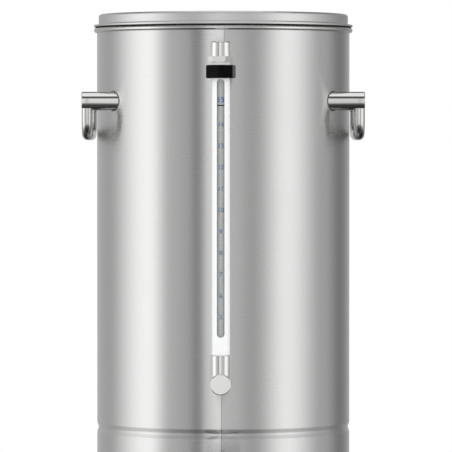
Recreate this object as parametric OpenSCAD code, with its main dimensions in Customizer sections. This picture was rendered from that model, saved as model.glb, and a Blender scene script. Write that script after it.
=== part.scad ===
// Hot water urn: a double-walled steel vessel with drop handles, a level gauge, a tap and a heated base.
// Millimetres. +Z is up, the front faces -Y, and the origin is on the table under the axis of the body.

/* [Body] */
// Outside diameter of the shell
body_d = 275; // [265:1:300]
// Sheet thickness of the shell
shell_wall = 1; // [0.8:0.1:1.4]
// Height from the bottom edge of the shell to the middle of the bead groove
skirt_h = 150; // [145:1:190]
// Height from the middle of the bead groove to the top of the rim
upper_h = 434; // [420:1:480]
// Width of the bead groove
bead_w = 11; // [8:0.5:15]
// Depth of the bead groove
bead_depth = 1.8; // [1:0.1:2.6]
// Width of the flange turned inwards at the bottom of the shell
skirt_flange = 13; // [11:0.5:18]
// Clearance round whatever passes through the shell
shell_hole_clear = 0.2; // [0.1:0.05:0.5]

/* [Tank] */
// Thickness of the insulation jacket
jacket_t = 16; // [14:0.5:20]
// Clearance on each side of the insulation jacket
jacket_clear = 0.3; // [0.2:0.1:0.6]
// Sheet thickness of the tank
tank_wall = 1; // [0.8:0.1:1.4]
// Height of the tank floor above the middle of the bead groove
floor_rise = 13; // [10:1:20]
// Inside corner radius between the tank wall and its floor
floor_corner = 14; // [8:1:20]
// How far the rolled rim stands out from the shell
rim_out = 3.3; // [3:0.1:5]
// Height of the rolled rim
rim_bead_h = 5.2; // [4.6:0.1:7]
// Diameter of the stud welded under the tank floor
stud_d = 8; // [6:1:10]

/* [Base] */
// Height of the rubber foot ring
foot_h = 13.5; // [11:0.5:20]
// Width of the foot ring
foot_w = 26; // [22:1:30]
// Middle radius of the foot ring
foot_ring_r = 98; // [92:1:102]
// Number of air holes through the foot ring
air_count = 12; // [8:4:16]
// Thickness of the base plate
plate_t = 1.5; // [1:0.1:2.5]
// Distance from the edge of the base plate to the outside of the shell
plate_inset = 2; // [1:0.5:4]
// Number of screws that hold the base plate
base_screw_count = 6; // [4:1:8]
// Thread diameter of the small screws
screw_d = 4; // [3:0.5:5]
// Number of vent slots in the base plate
vent_count = 16; // [8:1:20]
// Width of a vent slot
vent_w = 4; // [3:0.5:5]
// Length of a vent slot
vent_len = 26; // [16:1:30]

/* [Lid] */
// Distance of the lid wall inside the outside of the shell
lid_inset = 1.8; // [1:0.1:3]
// Sheet thickness of the lid
lid_wall = 0.9; // [0.7:0.1:1.2]
// Height of the lid above its seal
lid_h = 13.4; // [11:0.1:18]
// How far the lip stands out from the lid wall
lip_out = 5.1; // [4:0.1:6]
// Rounding at the top edge of the lid
lid_edge_r = 3; // [2:0.5:5]
// Depth of the sunk dish in the lid
dish_depth = 32; // [28:1:40]
// Clearance between the sunk dish and the gauge ports in the tank wall
dish_clear = 0.8; // [0.5:0.1:4]
// Corner radius at the bottom of the dish
dish_corner = 10; // [6:1:14]
// Thickness of the seal between lid and rim
seal_t = 1.4; // [1:0.1:2]
// Depth of the seal's lip inside the mouth of the tank
seal_lip = 6; // [4:0.5:8]
// Height of the seal's upstand inside the lid wall
seal_upstand = 6; // [4:0.5:7]
// Diameter of the steam vent in the dish
steam_hole_d = 5; // [3:0.5:8]
// Bar diameter of the lid handle
lid_bar_d = 8; // [6:0.5:9]
// Distance between the legs of the lid handle
lid_bar_span = 96; // [80:1:120]
// Height of the lid handle above the dish
lid_bar_h = 27; // [25:0.5:28]

/* [Handles] */
// Diameter of the handle posts
post_d = 20; // [18:0.5:24]
// Distance between the front and the rear post
post_spacing = 140; // [120:1:150]
// How far the posts stand out past the side of the shell
post_out = 14.5; // [13.5:0.5:20]
// Distance from the top of the rim down to the posts
post_drop = 80; // [60:1:120]
// Bar diameter of the bails
rod_d = 12; // [10:0.5:12.5]
// Distance from the hinge pins down to the grip
bail_drop = 36; // [32:1:60]
// Bend radius of the bails, at the middle of the bar
bail_bend = 16; // [12:1:24]
// Diameter of the hinge pins
pin_d = 4; // [3:0.5:5]
// How deep the ends of the hinge pins lie in the posts
pin_recess = 0.8; // [0.3:0.1:1.5]
// Clearance between a bail and the slot in its post
slot_clear = 0.3; // [0.2:0.05:0.6]
// Radial clearance of the hinge pins in the bails
pin_clear = 0.08; // [0.04:0.01:0.1]

/* [Gauge] */
// Angle of the gauge from the front, to the right where positive
gauge_turn = -0.9; // [-2:0.1:2]
// Distance from the shell to the axis of the gauge
gauge_standoff = 22; // [20:0.5:30]
// Distance from the top of the rim down to the top fitting
gauge_drop = 18.4; // [14:0.1:30]
// Height of the top fitting
fitting_h = 15.5; // [15:0.5:20]
// Diameter of the top fitting
fitting_d = 23; // [21:0.5:26]
// Height of the hexagon under the top fitting
hex_h = 6.1; // [5:0.1:9]
// Width of the hexagon across its flats
hex_af = 22.4; // [20:0.2:26]
// Thickness of the white washer
washer_t = 3.1; // [2:0.1:4]
// Diameter of the white washer
washer_d = 20.6; // [20:0.2:22]
// Height of the union nut
nut_h = 13.9; // [12:0.1:18]
// Width of the union nut across its flats
nut_af = 28.6; // [26:0.2:32]
// Outside diameter of the guard sleeve
sleeve_d = 19; // [18:0.5:21]
// Wall of the guard sleeve
sleeve_wall = 3; // [2:0.25:3.25]
// Width of the viewing slot
slot_w = 8; // [6:0.5:9]
// Distance from the top of the socket to the bottom of the viewing slot
slot_rise = 18.9; // [12:0.1:30]
// Distance from the union nut down to the top of the viewing slot
slot_drop = 0.9; // [0.5:0.1:6]
// Outside diameter of the glass tube
glass_d = 12; // [10:0.5:12.5]
// Wall of the glass tube
glass_wall = 1.8; // [1:0.1:2.5]
// Height of the boss above the middle of the bead groove
boss_rise = 55; // [45:1:80]
// Diameter of the boss at the bottom fitting
boss_d = 22.4; // [22:0.2:26]
// Diameter of the socket that takes the sleeve
socket_d = 22; // [21.6:0.2:25]
// Height of the socket above the axis of the boss
socket_h = 30.4; // [28:0.2:40]
// Depth of the sleeve in the socket
socket_depth = 8; // [5:0.5:10]
// Diameter of the stubs through the shell
stub_pipe_d = 14; // [13:0.5:15]
// Thread diameter of the spigots in the tank wall
spigot_d = 11; // [10:0.5:12]
// Bore of the gauge fittings
gauge_bore_d = 7; // [5:0.5:8]
// Thickness of the gaskets on the tank wall
gasket_t = 2; // [1.5:0.1:3]

/* [Tap] */
// Distance from the middle of the bead groove down to the axis of the tap
tap_drop = 53; // [48:1:70]
// Distance from the shell to the axis of the tap plug
tap_reach = 48; // [44:1:70]
// Thread diameter of the tap shank
shank_d = 20; // [18:0.5:24]
// Bore through the tap
tap_bore_d = 11; // [9:0.5:12]
// Diameter of the tap plug
plug_d = 18; // [17:0.5:20]
// Diameter of the plug housing
housing_d = 28; // [26:0.5:34]
// Radial running clearance of plug, spindle and rocker
run_clear = 0.05; // [0.02:0.01:0.1]
// Distance from the axis of the tap down to the end of the spout
spout_drop = 36; // [30:1:50]
// Diameter of the end of the spout
spout_d = 16; // [14:0.5:19]
// Diameter of the tap flange
flange_d = 32; // [29:0.5:40]
// Length of the tap lever from end to end
lever_len = 62; // [44:1:72]
// Thickness of the tap lever
lever_t = 11; // [9:0.5:14]
// Outside diameter of the drain pipe
drain_d = 18; // [16:0.5:20]
// Wall of the drain pipe
drain_wall = 1.5; // [1:0.1:2.5]
// Distance from the axis of the body to the drain hole
drain_y = 88; // [84:0.5:92]
// Bend radius of the drain pipe, at the middle of the pipe
drain_bend = 18; // [14:1:24]

/* [Heating] */
// Diameter of the heating tube
element_d = 8.5; // [7:0.5:9]
// Radius of the ring of the heating tube
element_r = 60; // [50:1:62]
// Angle that the heating ring leaves open at the rear
element_gap = 24; // [20:1:40]
// Length of the cold ends of the heating tube
cold_end = 34; // [28:1:40]
// Thickness of the heater clamp plate
clamp_t = 2; // [1.5:0.5:4]
// How far the clamp plate reaches past the heating ring
clamp_over = 7; // [6:0.5:8]

/* [Controls] */
// Height of the controls above the bottom edge of the shell
control_rise = 60; // [55:1:75]
// Angle of the thermostat knob from the front
knob_angle = 34; // [28:1:50]
// Angle of the switch from the front
switch_angle = 34; // [25:1:50]
// Diameter of the thermostat knob
knob_d = 42; // [36:1:48]
// Height of the thermostat knob
knob_h = 18; // [15:0.5:24]
// Diameter of the dial plate
dial_d = 56; // [52:1:64]
// Thickness of the dial plate at its middle
dial_t = 2; // [1.5:0.1:3]
// Thread diameter of the thermostat bush
bush_d = 10; // [9:0.5:12]
// Diameter of the thermostat spindle
spindle_d = 6; // [5:0.5:6.5]
// Side of the square thermostat body
thermostat_w = 34; // [30:1:38]
// Depth of the thermostat body
thermostat_depth = 24; // [20:1:28]
// Diameter of the hole for the power switch
switch_d = 20; // [19:0.5:22]
// Width of the switch bezel
switch_bezel = 2; // [1.5:0.25:4]
// Angle between the two positions of the rocker
rocker_throw = 16; // [12:1:20]
// Height of the pilot lamp above the switch
lamp_rise = 30; // [26:1:40]
// Diameter of the hole for the pilot lamp
lamp_d = 8; // [7:0.5:10]

/* [Mains inlet] */
// Height of the mains inlet above the bottom edge of the shell
inlet_rise = 48; // [42:1:70]
// Width of the cavity of the inlet
inlet_w = 17; // [16:0.5:19]
// Height of the cavity of the inlet
inlet_h = 25; // [24:0.5:28]
// Depth of the cavity of the inlet
inlet_depth = 18; // [16:0.5:22]
// Wall of the inlet
inlet_wall = 1.8; // [1.4:0.1:2.4]
// Distance between the inlet screws
inlet_screw_span = 40; // [38:1:46]
// Distance between neighbouring contact pins
contact_pitch = 7; // [6.5:0.1:7.5]

/* [Wiring] */
// Diameter of the mains wires
wire_d = 2.5; // [2:0.1:2.8]
// Diameter of the lamp leads
lead_d = 1.4; // [1:0.1:1.6]

/* [Hidden] */
$fn = 96;
arc_steps = 8;
core_steps = 360;
past = 1;
wall_cut = 5;
press = 0.02;
thread_fit = 0.05;
seat_gap = 0.05;
head_ratio = 2;
head_rise = 0.6;
head_round = 0.4;
nut_ratio = 1.75;
nut_rise = 0.8;
small_chamfer = 0.4;

steel = "#c4c6c8";
polished = "#d8dadc";
black = "#1c1c1e";
white = "#f4f4f2";

// Body levels and radii
body_r = body_d / 2;
shell_ir = body_r - shell_wall;
skirt_z = foot_h + plate_t;
bead_z = skirt_z + skirt_h;
rim_z = bead_z + upper_h;
shell_top = rim_z - tank_wall;
bead_soft = bead_w / 2;
skirt_corner = 2;
plate_r = body_r - plate_inset;
flange_screw_r = body_r - shell_wall - skirt_flange / 2;
vent_ring_r = 34;
foot_sink_d = head_ratio * screw_d + 3;
foot_floor = 4;
foot_edge = 2.5;
foot_turn = 45;
foot_count = 4;
foot_r = foot_ring_r + foot_w / 2;
foot_ir = foot_ring_r - foot_w / 2;
air_d = 5;
base_screw_turn = 30;
base_screw_spare = 4;
control_z = skirt_z + control_rise;

// Tank levels and radii
tank_or = shell_ir - jacket_t - 2 * jacket_clear;
tank_r = tank_or - tank_wall;
floor_z = bead_z + floor_rise;
floor_under = floor_z - tank_wall;
mouth_r = 3;
curl_slack = 0.1;
curl_r = rim_bead_h / 2 - tank_wall - curl_slack;
jacket_margin = 4;

// Handle places
post_x = body_r + post_out;
post_y = post_spacing / 2;
post_z = rim_z - post_drop;
post_edge = 1;
pivot_x = post_x - rod_d / 2;
weld_gap = 0.05;
knuckle_room = slot_clear + rod_d / 2;

// Gauge levels, from the top down
gauge_y = -(body_r + gauge_standoff);
fitting_top = rim_z - gauge_drop;
hex_top = fitting_top - fitting_h;
hex_bottom = hex_top - hex_h;
nut_top = hex_bottom - washer_t;
nut_bottom = nut_top - nut_h;
stub_top_z = hex_top + fitting_h / 2;
boss_z = bead_z + boss_rise;
socket_top = boss_z + socket_h;
nut_seat = 3.5;
sleeve_top = nut_bottom + nut_seat;
sleeve_bottom = socket_top - socket_depth;
slot_top = nut_bottom - slot_drop;
slot_bottom = socket_top + slot_rise;
sleeve_fit = 0.2;
glass_fit = 0.25;
glass_in_hex = 3;
glass_in_socket = 5;
ring_d = 2.4;
ring_slack = 0.2;
ring_r = (glass_d + ring_d) / 2 + seat_gap;
ring_room = ring_d + ring_slack;
ring_floor = sleeve_bottom - ring_room;
nipple_step = 0.8;
nipple_d = sleeve_d - 2 * nipple_step;
nipple_end = sleeve_top + ring_room;
tail_d = 14;
tail_len = 4;
glass_top = hex_bottom + glass_in_hex;
glass_bottom = ring_floor - glass_in_socket;
down_bore_d = gauge_bore_d - 1;
nut_turn = 20;
hex_turn = -7;
nut_edge = 2;
hex_edge = 1;
fitting_taper = 1;
fitting_edge = 1.5;
socket_edge = 0.8;
boss_edge = 1.2;
boss_front = 12.8;
boss_back = 1.5;
nut_chamfer = 0.8;
gasket_over = 2.5;
gasket_d = stub_pipe_d + 2 * gasket_over;
port_nut_over = 3;
port_nut_af = spigot_d + 2 * port_nut_over;
port_nut_h = 5;
port_nut_y = nut_seat_y(tank_r, port_nut_af);
shoulder_y = -(tank_or + gasket_t);
spigot_end = port_nut_y + port_nut_h + seat_gap;
port_reach = tank_r + spigot_end;
port_levels = [stub_top_z, boss_z];

// Lid levels and radii
lid_r = body_r - lid_inset;
seal_top = rim_z + seal_t;
lid_top = seal_top + lid_h;
lip_r = lid_r + lip_out;
hem_w = 4;
flare_r = 2;
dish_r = tank_r - port_reach - dish_clear - lid_wall;
dish_z = lid_top - dish_depth;
dish_under = dish_z - lid_wall;
steam_hole_inset = 36;
seal_set_back = 1.4;
seal_out_r = lip_r - seal_set_back;
seal_fit = 0.5;
seal_web = 2;
lid_screw_d = 4;
lid_screw_len = 12;

// Tap places
tap_z = bead_z - tap_drop;
tap_y = -(body_r + tap_reach);
tap_gasket_t = 2;
flange_t = 4;
flange_edge = 0.8;
flange_back = -(body_r + tap_gasket_t);
barrel_d = shank_d;
gland_h = 10;
gland_lap = 6;
gland_clear = 0.6;
housing_low = 15;
housing_high = barrel_d / 2 + gland_clear + gland_lap;
housing_edge = 1.5;
housing_floor = 4;
housing_top = tap_z + housing_high;
spout_taper = 3;
plug_low = tap_z - housing_low + housing_floor;
plug_end_gap = 0.2;
port_d = tap_bore_d - 1;
outlet_d = port_d - 1;
gland_wall = 2.5;
gland_edge = 1.5;
gland_flutes = 12;
gland_top = housing_top + gland_h - gland_lap;
gland_d = housing_d + 2 * gland_wall;
flute_d = 4;
stem_d = 10;
square_d = stem_d - 0.6;
hub_d = 22;
lever_gap = 0.4;
lever_z = gland_top + lever_gap;
lever_end_w = 17;
lever_waist = 11;
lever_edge = 1.5;
lever_corner = 6;
lever_web = 2;
lever_screw_d = 4;
lever_screw_sink = 3;
lever_screw_hole = 8;
lever_screw_len = 9;
square_len = lever_t - lever_screw_sink - lever_web;
locknut_over = 4;
locknut_af = shank_d + 2 * locknut_over;
locknut_h = 6;
locknut_y = nut_seat_y(shell_ir, locknut_af);
drain_bend_y = -(drain_y + drain_bend);
coupling_wall = 3;
coupling_gap = 1.5;
coupling_space = 4;
coupling_back = drain_bend_y - coupling_space;
coupling_front = locknut_y + locknut_h + coupling_gap;
coupling_stop = 3;
shank_end = coupling_back - coupling_stop;
collar_t = 3;
collar_over = 4;

// Heater places
element_z = floor_under - element_d / 2 - seat_gap;
clamp_top = floor_under - element_d - 2 * seat_gap;
clamp_under = clamp_top - clamp_t;
clamp_r = element_r + element_d / 2 + clamp_over;
clamp_nut_af = nut_ratio * stud_d;
clamp_nut_h = nut_rise * stud_d;
stud_spare = 4;
stud_len = floor_under - clamp_under + clamp_nut_h + stud_spare;
terminal_d = 4;
terminal_len = 9;
cold_room = 4;
cutout_y = -32;
cutout_d = 16;
cutout_h = 11;
cutout_pitch = 24;
cutout_ear_r = 5;
cutout_ear_t = 1.5;
cutout_screw_d = 3;
cutout_screw_spare = 2;
bulb_d = 6;
bulb_len = 62;
bulb_y = 86;
bulb_z = floor_under - bulb_d / 2 - seat_gap;
clip_w = 12;
clip_t = 1;
clip_ear = 8;
clip_gap = 0.15;
clip_bend = 2;
capillary_d = 2;
capillary_lead = 22;
capillary_rise = 53;
capillary_z = control_z + capillary_rise;
bend_ball = 1.2;

// Control places
thermostat_y = -sqrt(shell_ir ^ 2 - (thermostat_w / 2) ^ 2) + seat_gap;
block_corner = 1.5;
dial_front = -(body_r + dial_t);
dial_edge = 1;
bush_nut_over = 2;
bush_nut_af = bush_d + 2 * bush_nut_over;
bush_nut_h = 3;
bush_spare = 0.6;
bush_end = dial_front - bush_nut_h - bush_spare;
spindle_in = 5;
knob_gap = 0.5;
knob_front = dial_front - knob_gap - knob_h;
knob_web = 9;
knob_wall = 3;
knob_face = 4;
knob_step = 3;
grip_d = knob_d - 2 * knob_step;
knob_edge = 2;
skirt_edge = 1;
knob_skirt = 4;
knob_hub_d = 13;
knob_hub_space = 1.5;
knob_hub_end = knob_h - bush_nut_h - knob_hub_space;
pointer_w = 2.4;
pointer_len = 11;
pointer_h = 0.8;
grip_ribs = 20;
spindle_end = knob_front + knob_face;
switch_body = 22;
bezel_t = 2;
bezel_edge = 0.8;
bezel_front = -(body_r + bezel_t);
bezel_r = switch_d / 2 + switch_bezel;
rocker_wall = 1.5;
rocker_room_d = switch_d - 2 * rocker_wall;
rocker_room = 9;
rocker_sink = 2.5;
rocker_axis = bezel_front + rocker_sink;
rocker_clear = 0.3;
rocker_ball_r = rocker_room_d / 2 - rocker_clear;
rocker_rise = 3.2;
rocker_pin_d = 2.4;
rocker_pin_len = rocker_room_d + rocker_wall;
lamp_z = control_z + lamp_rise;
lamp_bezel_w = 2.5;
lamp_bezel_d = lamp_d + 2 * lamp_bezel_w;
lamp_wall = 1.2;
lamp_body = 14;
lens_d = lamp_d - 2 * lamp_wall;
lens_len = 12;
lens_proud = 1.6;

// Mains inlet places
inlet_z = skirt_z + inlet_rise;
inlet_flange_t = 2.5;
inlet_face = -(body_r + inlet_flange_t);
inlet_body_w = inlet_w + 2 * inlet_wall;
inlet_body_h = inlet_h + 2 * inlet_wall;
inlet_margin = 2.5;
inlet_screw_margin = 5;
inlet_flange_w = inlet_body_w + 2 * inlet_margin;
inlet_flange_h = inlet_screw_span + 2 * inlet_screw_margin;
inlet_flange_corner = 4;
inlet_floor = 2.5;
inlet_cut = 5;
inlet_screw_d = 3.5;
inlet_screw_len = 9;
contact_offset = 2;
blade_w = 4;
blade_t = 2;
tab_t = 1;
blade_len = 14;
blade_tab = 8;

// Pieces on the base plate
block_depth = 20;
block_h = 17;
block_y = 62;
block_pitch = 9;
block_margin = 7;
block_screw_in = 8;
way_d = 5;
earth_x = -52;
earth_y = 52;
earth_d = 5;
earth_len = 16;
earth_foot = 1.5;
earth_nut_h = 4;
way_z = skirt_z + block_h / 2;
way_front = block_y - block_depth / 2;
way_rear = block_y + block_depth / 2;

// Wiring places
wire_lead = 12;
way_in = 6;
lead_lift = 6;
loop_lift = 25;
inlet_ways = [0, -1, 1];
earth_wire_z = skirt_z + earth_foot + 2 * earth_nut_h + wire_d;
lead_end_z = control_z + blade_w / 2 + seat_gap;

// Where the flat face of a nut meets the inside of a wall of radius r
function nut_seat_y(r, af) = -sqrt(r ^ 2 - (af / 2 / cos(30)) ^ 2) + seat_gap;

// Points of the arc that rounds corner c between its neighbours p and q
function unit(v) = v / norm(v);
function corner_arc(p, c, q, r) =
    let (
        u = unit(p - c),
        v = unit(q - c),
        half = acos(u * v) / 2,
        centre = c + unit(u + v) * r / sin(half),
        from = c + u * r / tan(half) - centre,
        to = c + v * r / tan(half) - centre,
        start = atan2(from.y, from.x),
        turn = atan2(to.y, to.x) - start,
        sweep = turn > 180 ? turn - 360 : turn < -180 ? turn + 360 : turn
    )
    [
        for (i = [0:arc_steps])
        let (angle = start + sweep * i / arc_steps)
        centre + r * [cos(angle), sin(angle)]
    ];

// Corners are [x, y, radius]. A path is open and a ring of corners is closed.
function xy(p) = [p.x, p.y];
function rounded(p, c, q) = c.z > 0 ? corner_arc(xy(p), xy(c), xy(q), c.z) : [xy(c)];
function rounded_path(path) =
    let (last = len(path) - 1)
    [
        for (i = [0:last])
        each i == 0 || i == last ? [xy(path[i])] : rounded(path[i - 1], path[i], path[i + 1])
    ];
function rounded_ring(ring) =
    let (n = len(ring))
    [for (i = [0:n - 1]) each rounded(ring[(i + n - 1) % n], ring[i], ring[(i + 1) % n])];

// The path moved to its left by t, with its corner radii to match
function left_of(d) = [-d.y, d.x];
function heading(path, i) = unit(xy(path[i + 1]) - xy(path[i]));
function moved_path(path, t) =
    let (last = len(path) - 1)
    [
        for (i = [0:last])
        let (
            a = heading(path, max(i - 1, 0)),
            b = heading(path, min(i, last - 1)),
            n = left_of(a) + left_of(b),
            p = xy(path[i]) + n * t / (1 + left_of(a) * left_of(b)),
            r = path[i].z > 0 ? path[i].z - sign(cross(a, b)) * t : 0
        )
        [p.x, p.y, max(r, 0)]
    ];
function reversed(list) = [for (i = [len(list) - 1:-1:0]) list[i]];

// Outline of a sheet of thickness t that lies to the left of the path
function sheet(path, t) = concat(rounded_path(path), reversed(rounded_path(moved_path(path, t))));

module revolve(points) {
    rotate_extrude() polygon(points);
}

// A turned bar on the Z axis with both end edges rounded
module turned(d, h, edge) {
    revolve(rounded_ring([[0, 0, 0], [d / 2, 0, edge], [d / 2, h, edge], [0, h, 0]]));
}

module tube(od, id, h) {
    difference() {
        cylinder(d = od, h = h);
        translate([0, 0, -past]) cylinder(d = id, h = h + 2 * past);
    }
}

// A round bar along Y from y0 back to y1, at height z
module bar_y(d, y0, y1, z) {
    translate([0, y0, z]) rotate([-90, 0, 0]) cylinder(d = d, h = y1 - y0);
}

// A hexagonal bar whose corners are turned off at both ends
module hex_bar(af, h, edge) {
    intersection() {
        cylinder(r = af / 2 / cos(30), h = h, $fn = 6);
        turned(af / cos(30), h, edge);
    }
}

module hex_nut(af, h, bore, edge) {
    difference() {
        hex_bar(af, h, edge);
        translate([0, 0, -past]) cylinder(d = bore, h = h + 2 * past);
    }
}

// A pan-head screw whose head rests at z = 0 and whose shank points up
module pan_screw(d, len) {
    head_r = head_ratio * d / 2;
    head_h = head_rise * d;
    translate([0, 0, -head_h]) revolve(rounded_ring([
        [0, 0, 0], [head_r, 0, head_round * head_h], [head_r, head_h, 0], [0, head_h, 0]
    ]));
    translate([0, 0, -seat_gap]) cylinder(d = d, h = len + seat_gap);
}

// The solid inside a cylinder of radius r on the axis of the body
module core(r) {
    translate([0, 0, -past]) cylinder(r = r, h = rim_z + lid_h, $fn = core_steps);
}

module at_ring(count, r, offset) {
    for (i = [0:count - 1]) rotate([0, 0, offset + i * 360 / count]) translate([r, 0, 0]) children();
}

// Places on the shell, seen from the front
module at_knob() {
    rotate([0, 0, knob_angle]) children();
}

module at_switch() {
    rotate([0, 0, -switch_angle]) children();
}

module at_rear() {
    rotate([0, 0, 180]) children();
}

module at_gauge_line() {
    rotate([0, 0, gauge_turn]) children();
}

module at_gauge() {
    translate([0, gauge_y, 0]) children();
}

module at_tap() {
    translate([0, tap_y, 0]) children();
}

// Body

module shell_opening(d, z) {
    bar_y(d + 2 * shell_hole_clear, -(body_r + past), -(shell_ir - wall_cut), z);
}

module base_screw_places() {
    at_ring(base_screw_count, flange_screw_r, base_screw_turn) children();
}

module foot_places() {
    at_ring(foot_count, foot_ring_r, foot_turn) children();
}

module outer_shell() color(steel) difference() {
    revolve(sheet([
        [body_r - skirt_flange, skirt_z, 0],
        [body_r, skirt_z, skirt_corner],
        [body_r, bead_z - bead_w / 2, bead_soft],
        [body_r - bead_depth, bead_z, bead_soft],
        [body_r, bead_z + bead_w / 2, bead_soft],
        [body_r, shell_top, 0]
    ], shell_wall));
    at_gauge_line() for (z = port_levels) shell_opening(stub_pipe_d, z);
    shell_opening(shank_d, tap_z);
    at_knob() shell_opening(bush_d, control_z);
    at_switch() shell_opening(switch_d, control_z);
    at_switch() shell_opening(lamp_d, lamp_z);
    at_rear() inlet_opening();
    base_screw_places() translate([0, 0, skirt_z - past])
        cylinder(d = screw_d + 2 * press, h = shell_wall + 2 * past);
}

module inlet_opening() {
    w = inlet_body_w + 2 * shell_hole_clear;
    h = inlet_body_h + 2 * shell_hole_clear;
    translate([-w / 2, -(body_r + past), inlet_z - h / 2]) cube([w, past + shell_wall + wall_cut, h]);
    inlet_screw_places() bar_y(inlet_screw_d + 2 * press, -(body_r + past), -(shell_ir - wall_cut), 0);
}

module inner_tank() color(polished) difference() {
    union() {
        revolve(sheet([
            [0, floor_under, 0],
            [tank_or, floor_under, floor_corner + tank_wall],
            [tank_or, shell_top, mouth_r - tank_wall],
            [body_r + rim_out - tank_wall, shell_top, curl_r],
            [body_r + rim_out - tank_wall, rim_z - rim_bead_h + tank_wall, curl_r],
            [body_r + curl_slack, rim_z - rim_bead_h + tank_wall, 0]
        ], tank_wall));
        translate([0, 0, floor_under - stud_len]) cylinder(d = stud_d, h = stud_len + tank_wall / 2);
    }
    at_gauge_line() for (z = port_levels)
        bar_y(spigot_d + 2 * thread_fit, -(tank_or + past), -(tank_r - wall_cut), z);
    translate([0, -drain_y, floor_under - past])
        cylinder(d = drain_d + 2 * press, h = tank_wall + 2 * past);
}

module insulation_jacket() color("#e8dfb0") difference() {
    translate([0, 0, floor_z + floor_corner])
        tube(2 * (shell_ir - jacket_clear), 2 * (tank_or + jacket_clear),
            shell_top - jacket_margin - floor_z - floor_corner);
    at_gauge_line() for (z = port_levels)
        bar_y(gasket_d + 2 * jacket_clear, -(body_r + past), -(tank_r - past), z);
}

module vent_slot() {
    reach = (vent_len - vent_w) / 2;
    translate([-reach, -vent_w / 2, -past]) cube([2 * reach, vent_w, plate_t + 2 * past]);
    for (side = [-1, 1]) translate([side * reach, 0, -past]) cylinder(d = vent_w, h = plate_t + 2 * past);
}

module base_plate() color(steel) difference() {
    translate([0, 0, foot_h]) cylinder(r = plate_r, h = plate_t);
    translate([0, 0, foot_h]) at_ring(vent_count, vent_ring_r, 0) vent_slot();
    base_screw_places() plate_hole(screw_d);
    foot_places() plate_hole(screw_d);
    block_screw_places() plate_hole(screw_d);
}

module plate_hole(d) {
    translate([0, 0, foot_h - past]) cylinder(d = d + 2 * press, h = plate_t + 2 * past);
}

module base_screws() color(polished) {
    base_screw_places() translate([0, 0, foot_h])
        pan_screw(screw_d, plate_t + shell_wall + base_screw_spare);
}

module foot_ring() color(black) difference() {
    revolve(rounded_ring([
        [foot_ir, 0, foot_edge],
        [foot_r, 0, foot_edge],
        [foot_r, foot_h, 0],
        [foot_ir, foot_h, 0]
    ]));
    foot_places() {
        translate([0, 0, -past]) cylinder(d = foot_sink_d, h = foot_h - foot_floor + past);
        cylinder(d = screw_d + 2 * press, h = foot_h + past);
    }
    at_ring(air_count, foot_ir - past, foot_turn + 180 / air_count) translate([0, 0, foot_h / 2])
        rotate([0, 90, 0]) cylinder(d = air_d, h = foot_w + 2 * past);
}

module foot_screws() color(polished) {
    foot_places() translate([0, 0, foot_h - foot_floor])
        pan_screw(screw_d, foot_floor + plate_t + nut_rise * screw_d + small_chamfer);
}

module foot_nuts() color(polished) {
    foot_places() translate([0, 0, skirt_z])
        hex_nut(nut_ratio * screw_d, nut_rise * screw_d, screw_d + 2 * press, small_chamfer);
}

// Lid

module lid() color(steel) difference() {
    union() {
        revolve(sheet([
            [lip_r, seal_top + 2 * lid_wall, 0],
            [lid_r, seal_top + 2 * lid_wall, flare_r],
            [lid_r, lid_top, lid_edge_r],
            [dish_r, lid_top, lid_edge_r],
            [dish_r, dish_z, dish_corner],
            [0, dish_z, 0]
        ], lid_wall));
        translate([0, 0, seal_top]) tube(2 * lip_r, 2 * (lip_r - hem_w), lid_wall + press);
    }
    translate([0, dish_r - steam_hole_inset, dish_under - past])
        cylinder(d = steam_hole_d, h = lid_wall + 2 * past);
    lid_leg_places() translate([0, 0, dish_under - past])
        cylinder(d = lid_screw_d + 2 * press, h = lid_wall + 2 * past);
}

module lid_leg_places() {
    for (side = [-1, 1]) translate([side * lid_bar_span / 2, 0, 0]) children();
}

module lid_seal() color(black) {
    wall_r = lid_r - lid_wall - seat_gap;
    mouth = tank_r - seal_fit;
    revolve([
        [mouth - seal_web, rim_z - seal_lip],
        [mouth, rim_z - seal_lip],
        [mouth, rim_z],
        [seal_out_r, rim_z],
        [seal_out_r, seal_top],
        [wall_r, seal_top],
        [wall_r, seal_top + seal_upstand],
        [wall_r - seal_web, seal_top + seal_upstand],
        [wall_r - seal_web, seal_top],
        [mouth - seal_web, seal_top]
    ]);
}

// A round bar bent to a U: two legs up from z = 0 and a bar across at height h, along X.
// Each leg may start lower, with a domed end.
module bent_bar(d, span, h, bend, dome = 0) {
    for (side = [0, 1]) mirror([side, 0, 0]) {
        translate([span / 2, 0, 0]) revolve(rounded_ring([
            [0, -dome, 0], [d / 2, -dome, max(dome - press, 0)], [d / 2, h - bend, 0], [0, h - bend, 0]
        ]));
        translate([span / 2 - bend, 0, h - bend]) rotate([90, 0, 0]) rotate_extrude(angle = 90)
            translate([bend, 0]) circle(d = d);
    }
    translate([bend - span / 2, 0, h]) rotate([0, 90, 0]) cylinder(d = d, h = span - 2 * bend);
}

module lid_handle() color(polished) difference() {
    translate([0, 0, dish_z]) bent_bar(lid_bar_d, lid_bar_span, lid_bar_h - lid_bar_d / 2, lid_bar_d);
    lid_leg_places() translate([0, 0, dish_z - past])
        cylinder(d = lid_screw_d + 2 * press, h = lid_screw_len + past);
}

module lid_handle_screws() color(polished) {
    lid_leg_places() translate([0, 0, dish_under])
        pan_screw(lid_screw_d, lid_screw_len);
}

// Handles. The side is -1 on the left and 1 on the right.

module at_posts(side) {
    for (place = [-1, 1])
        translate([0, place * post_y, post_z]) mirror([side < 0 ? 1 : 0, 0, 0]) children();
}

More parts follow.
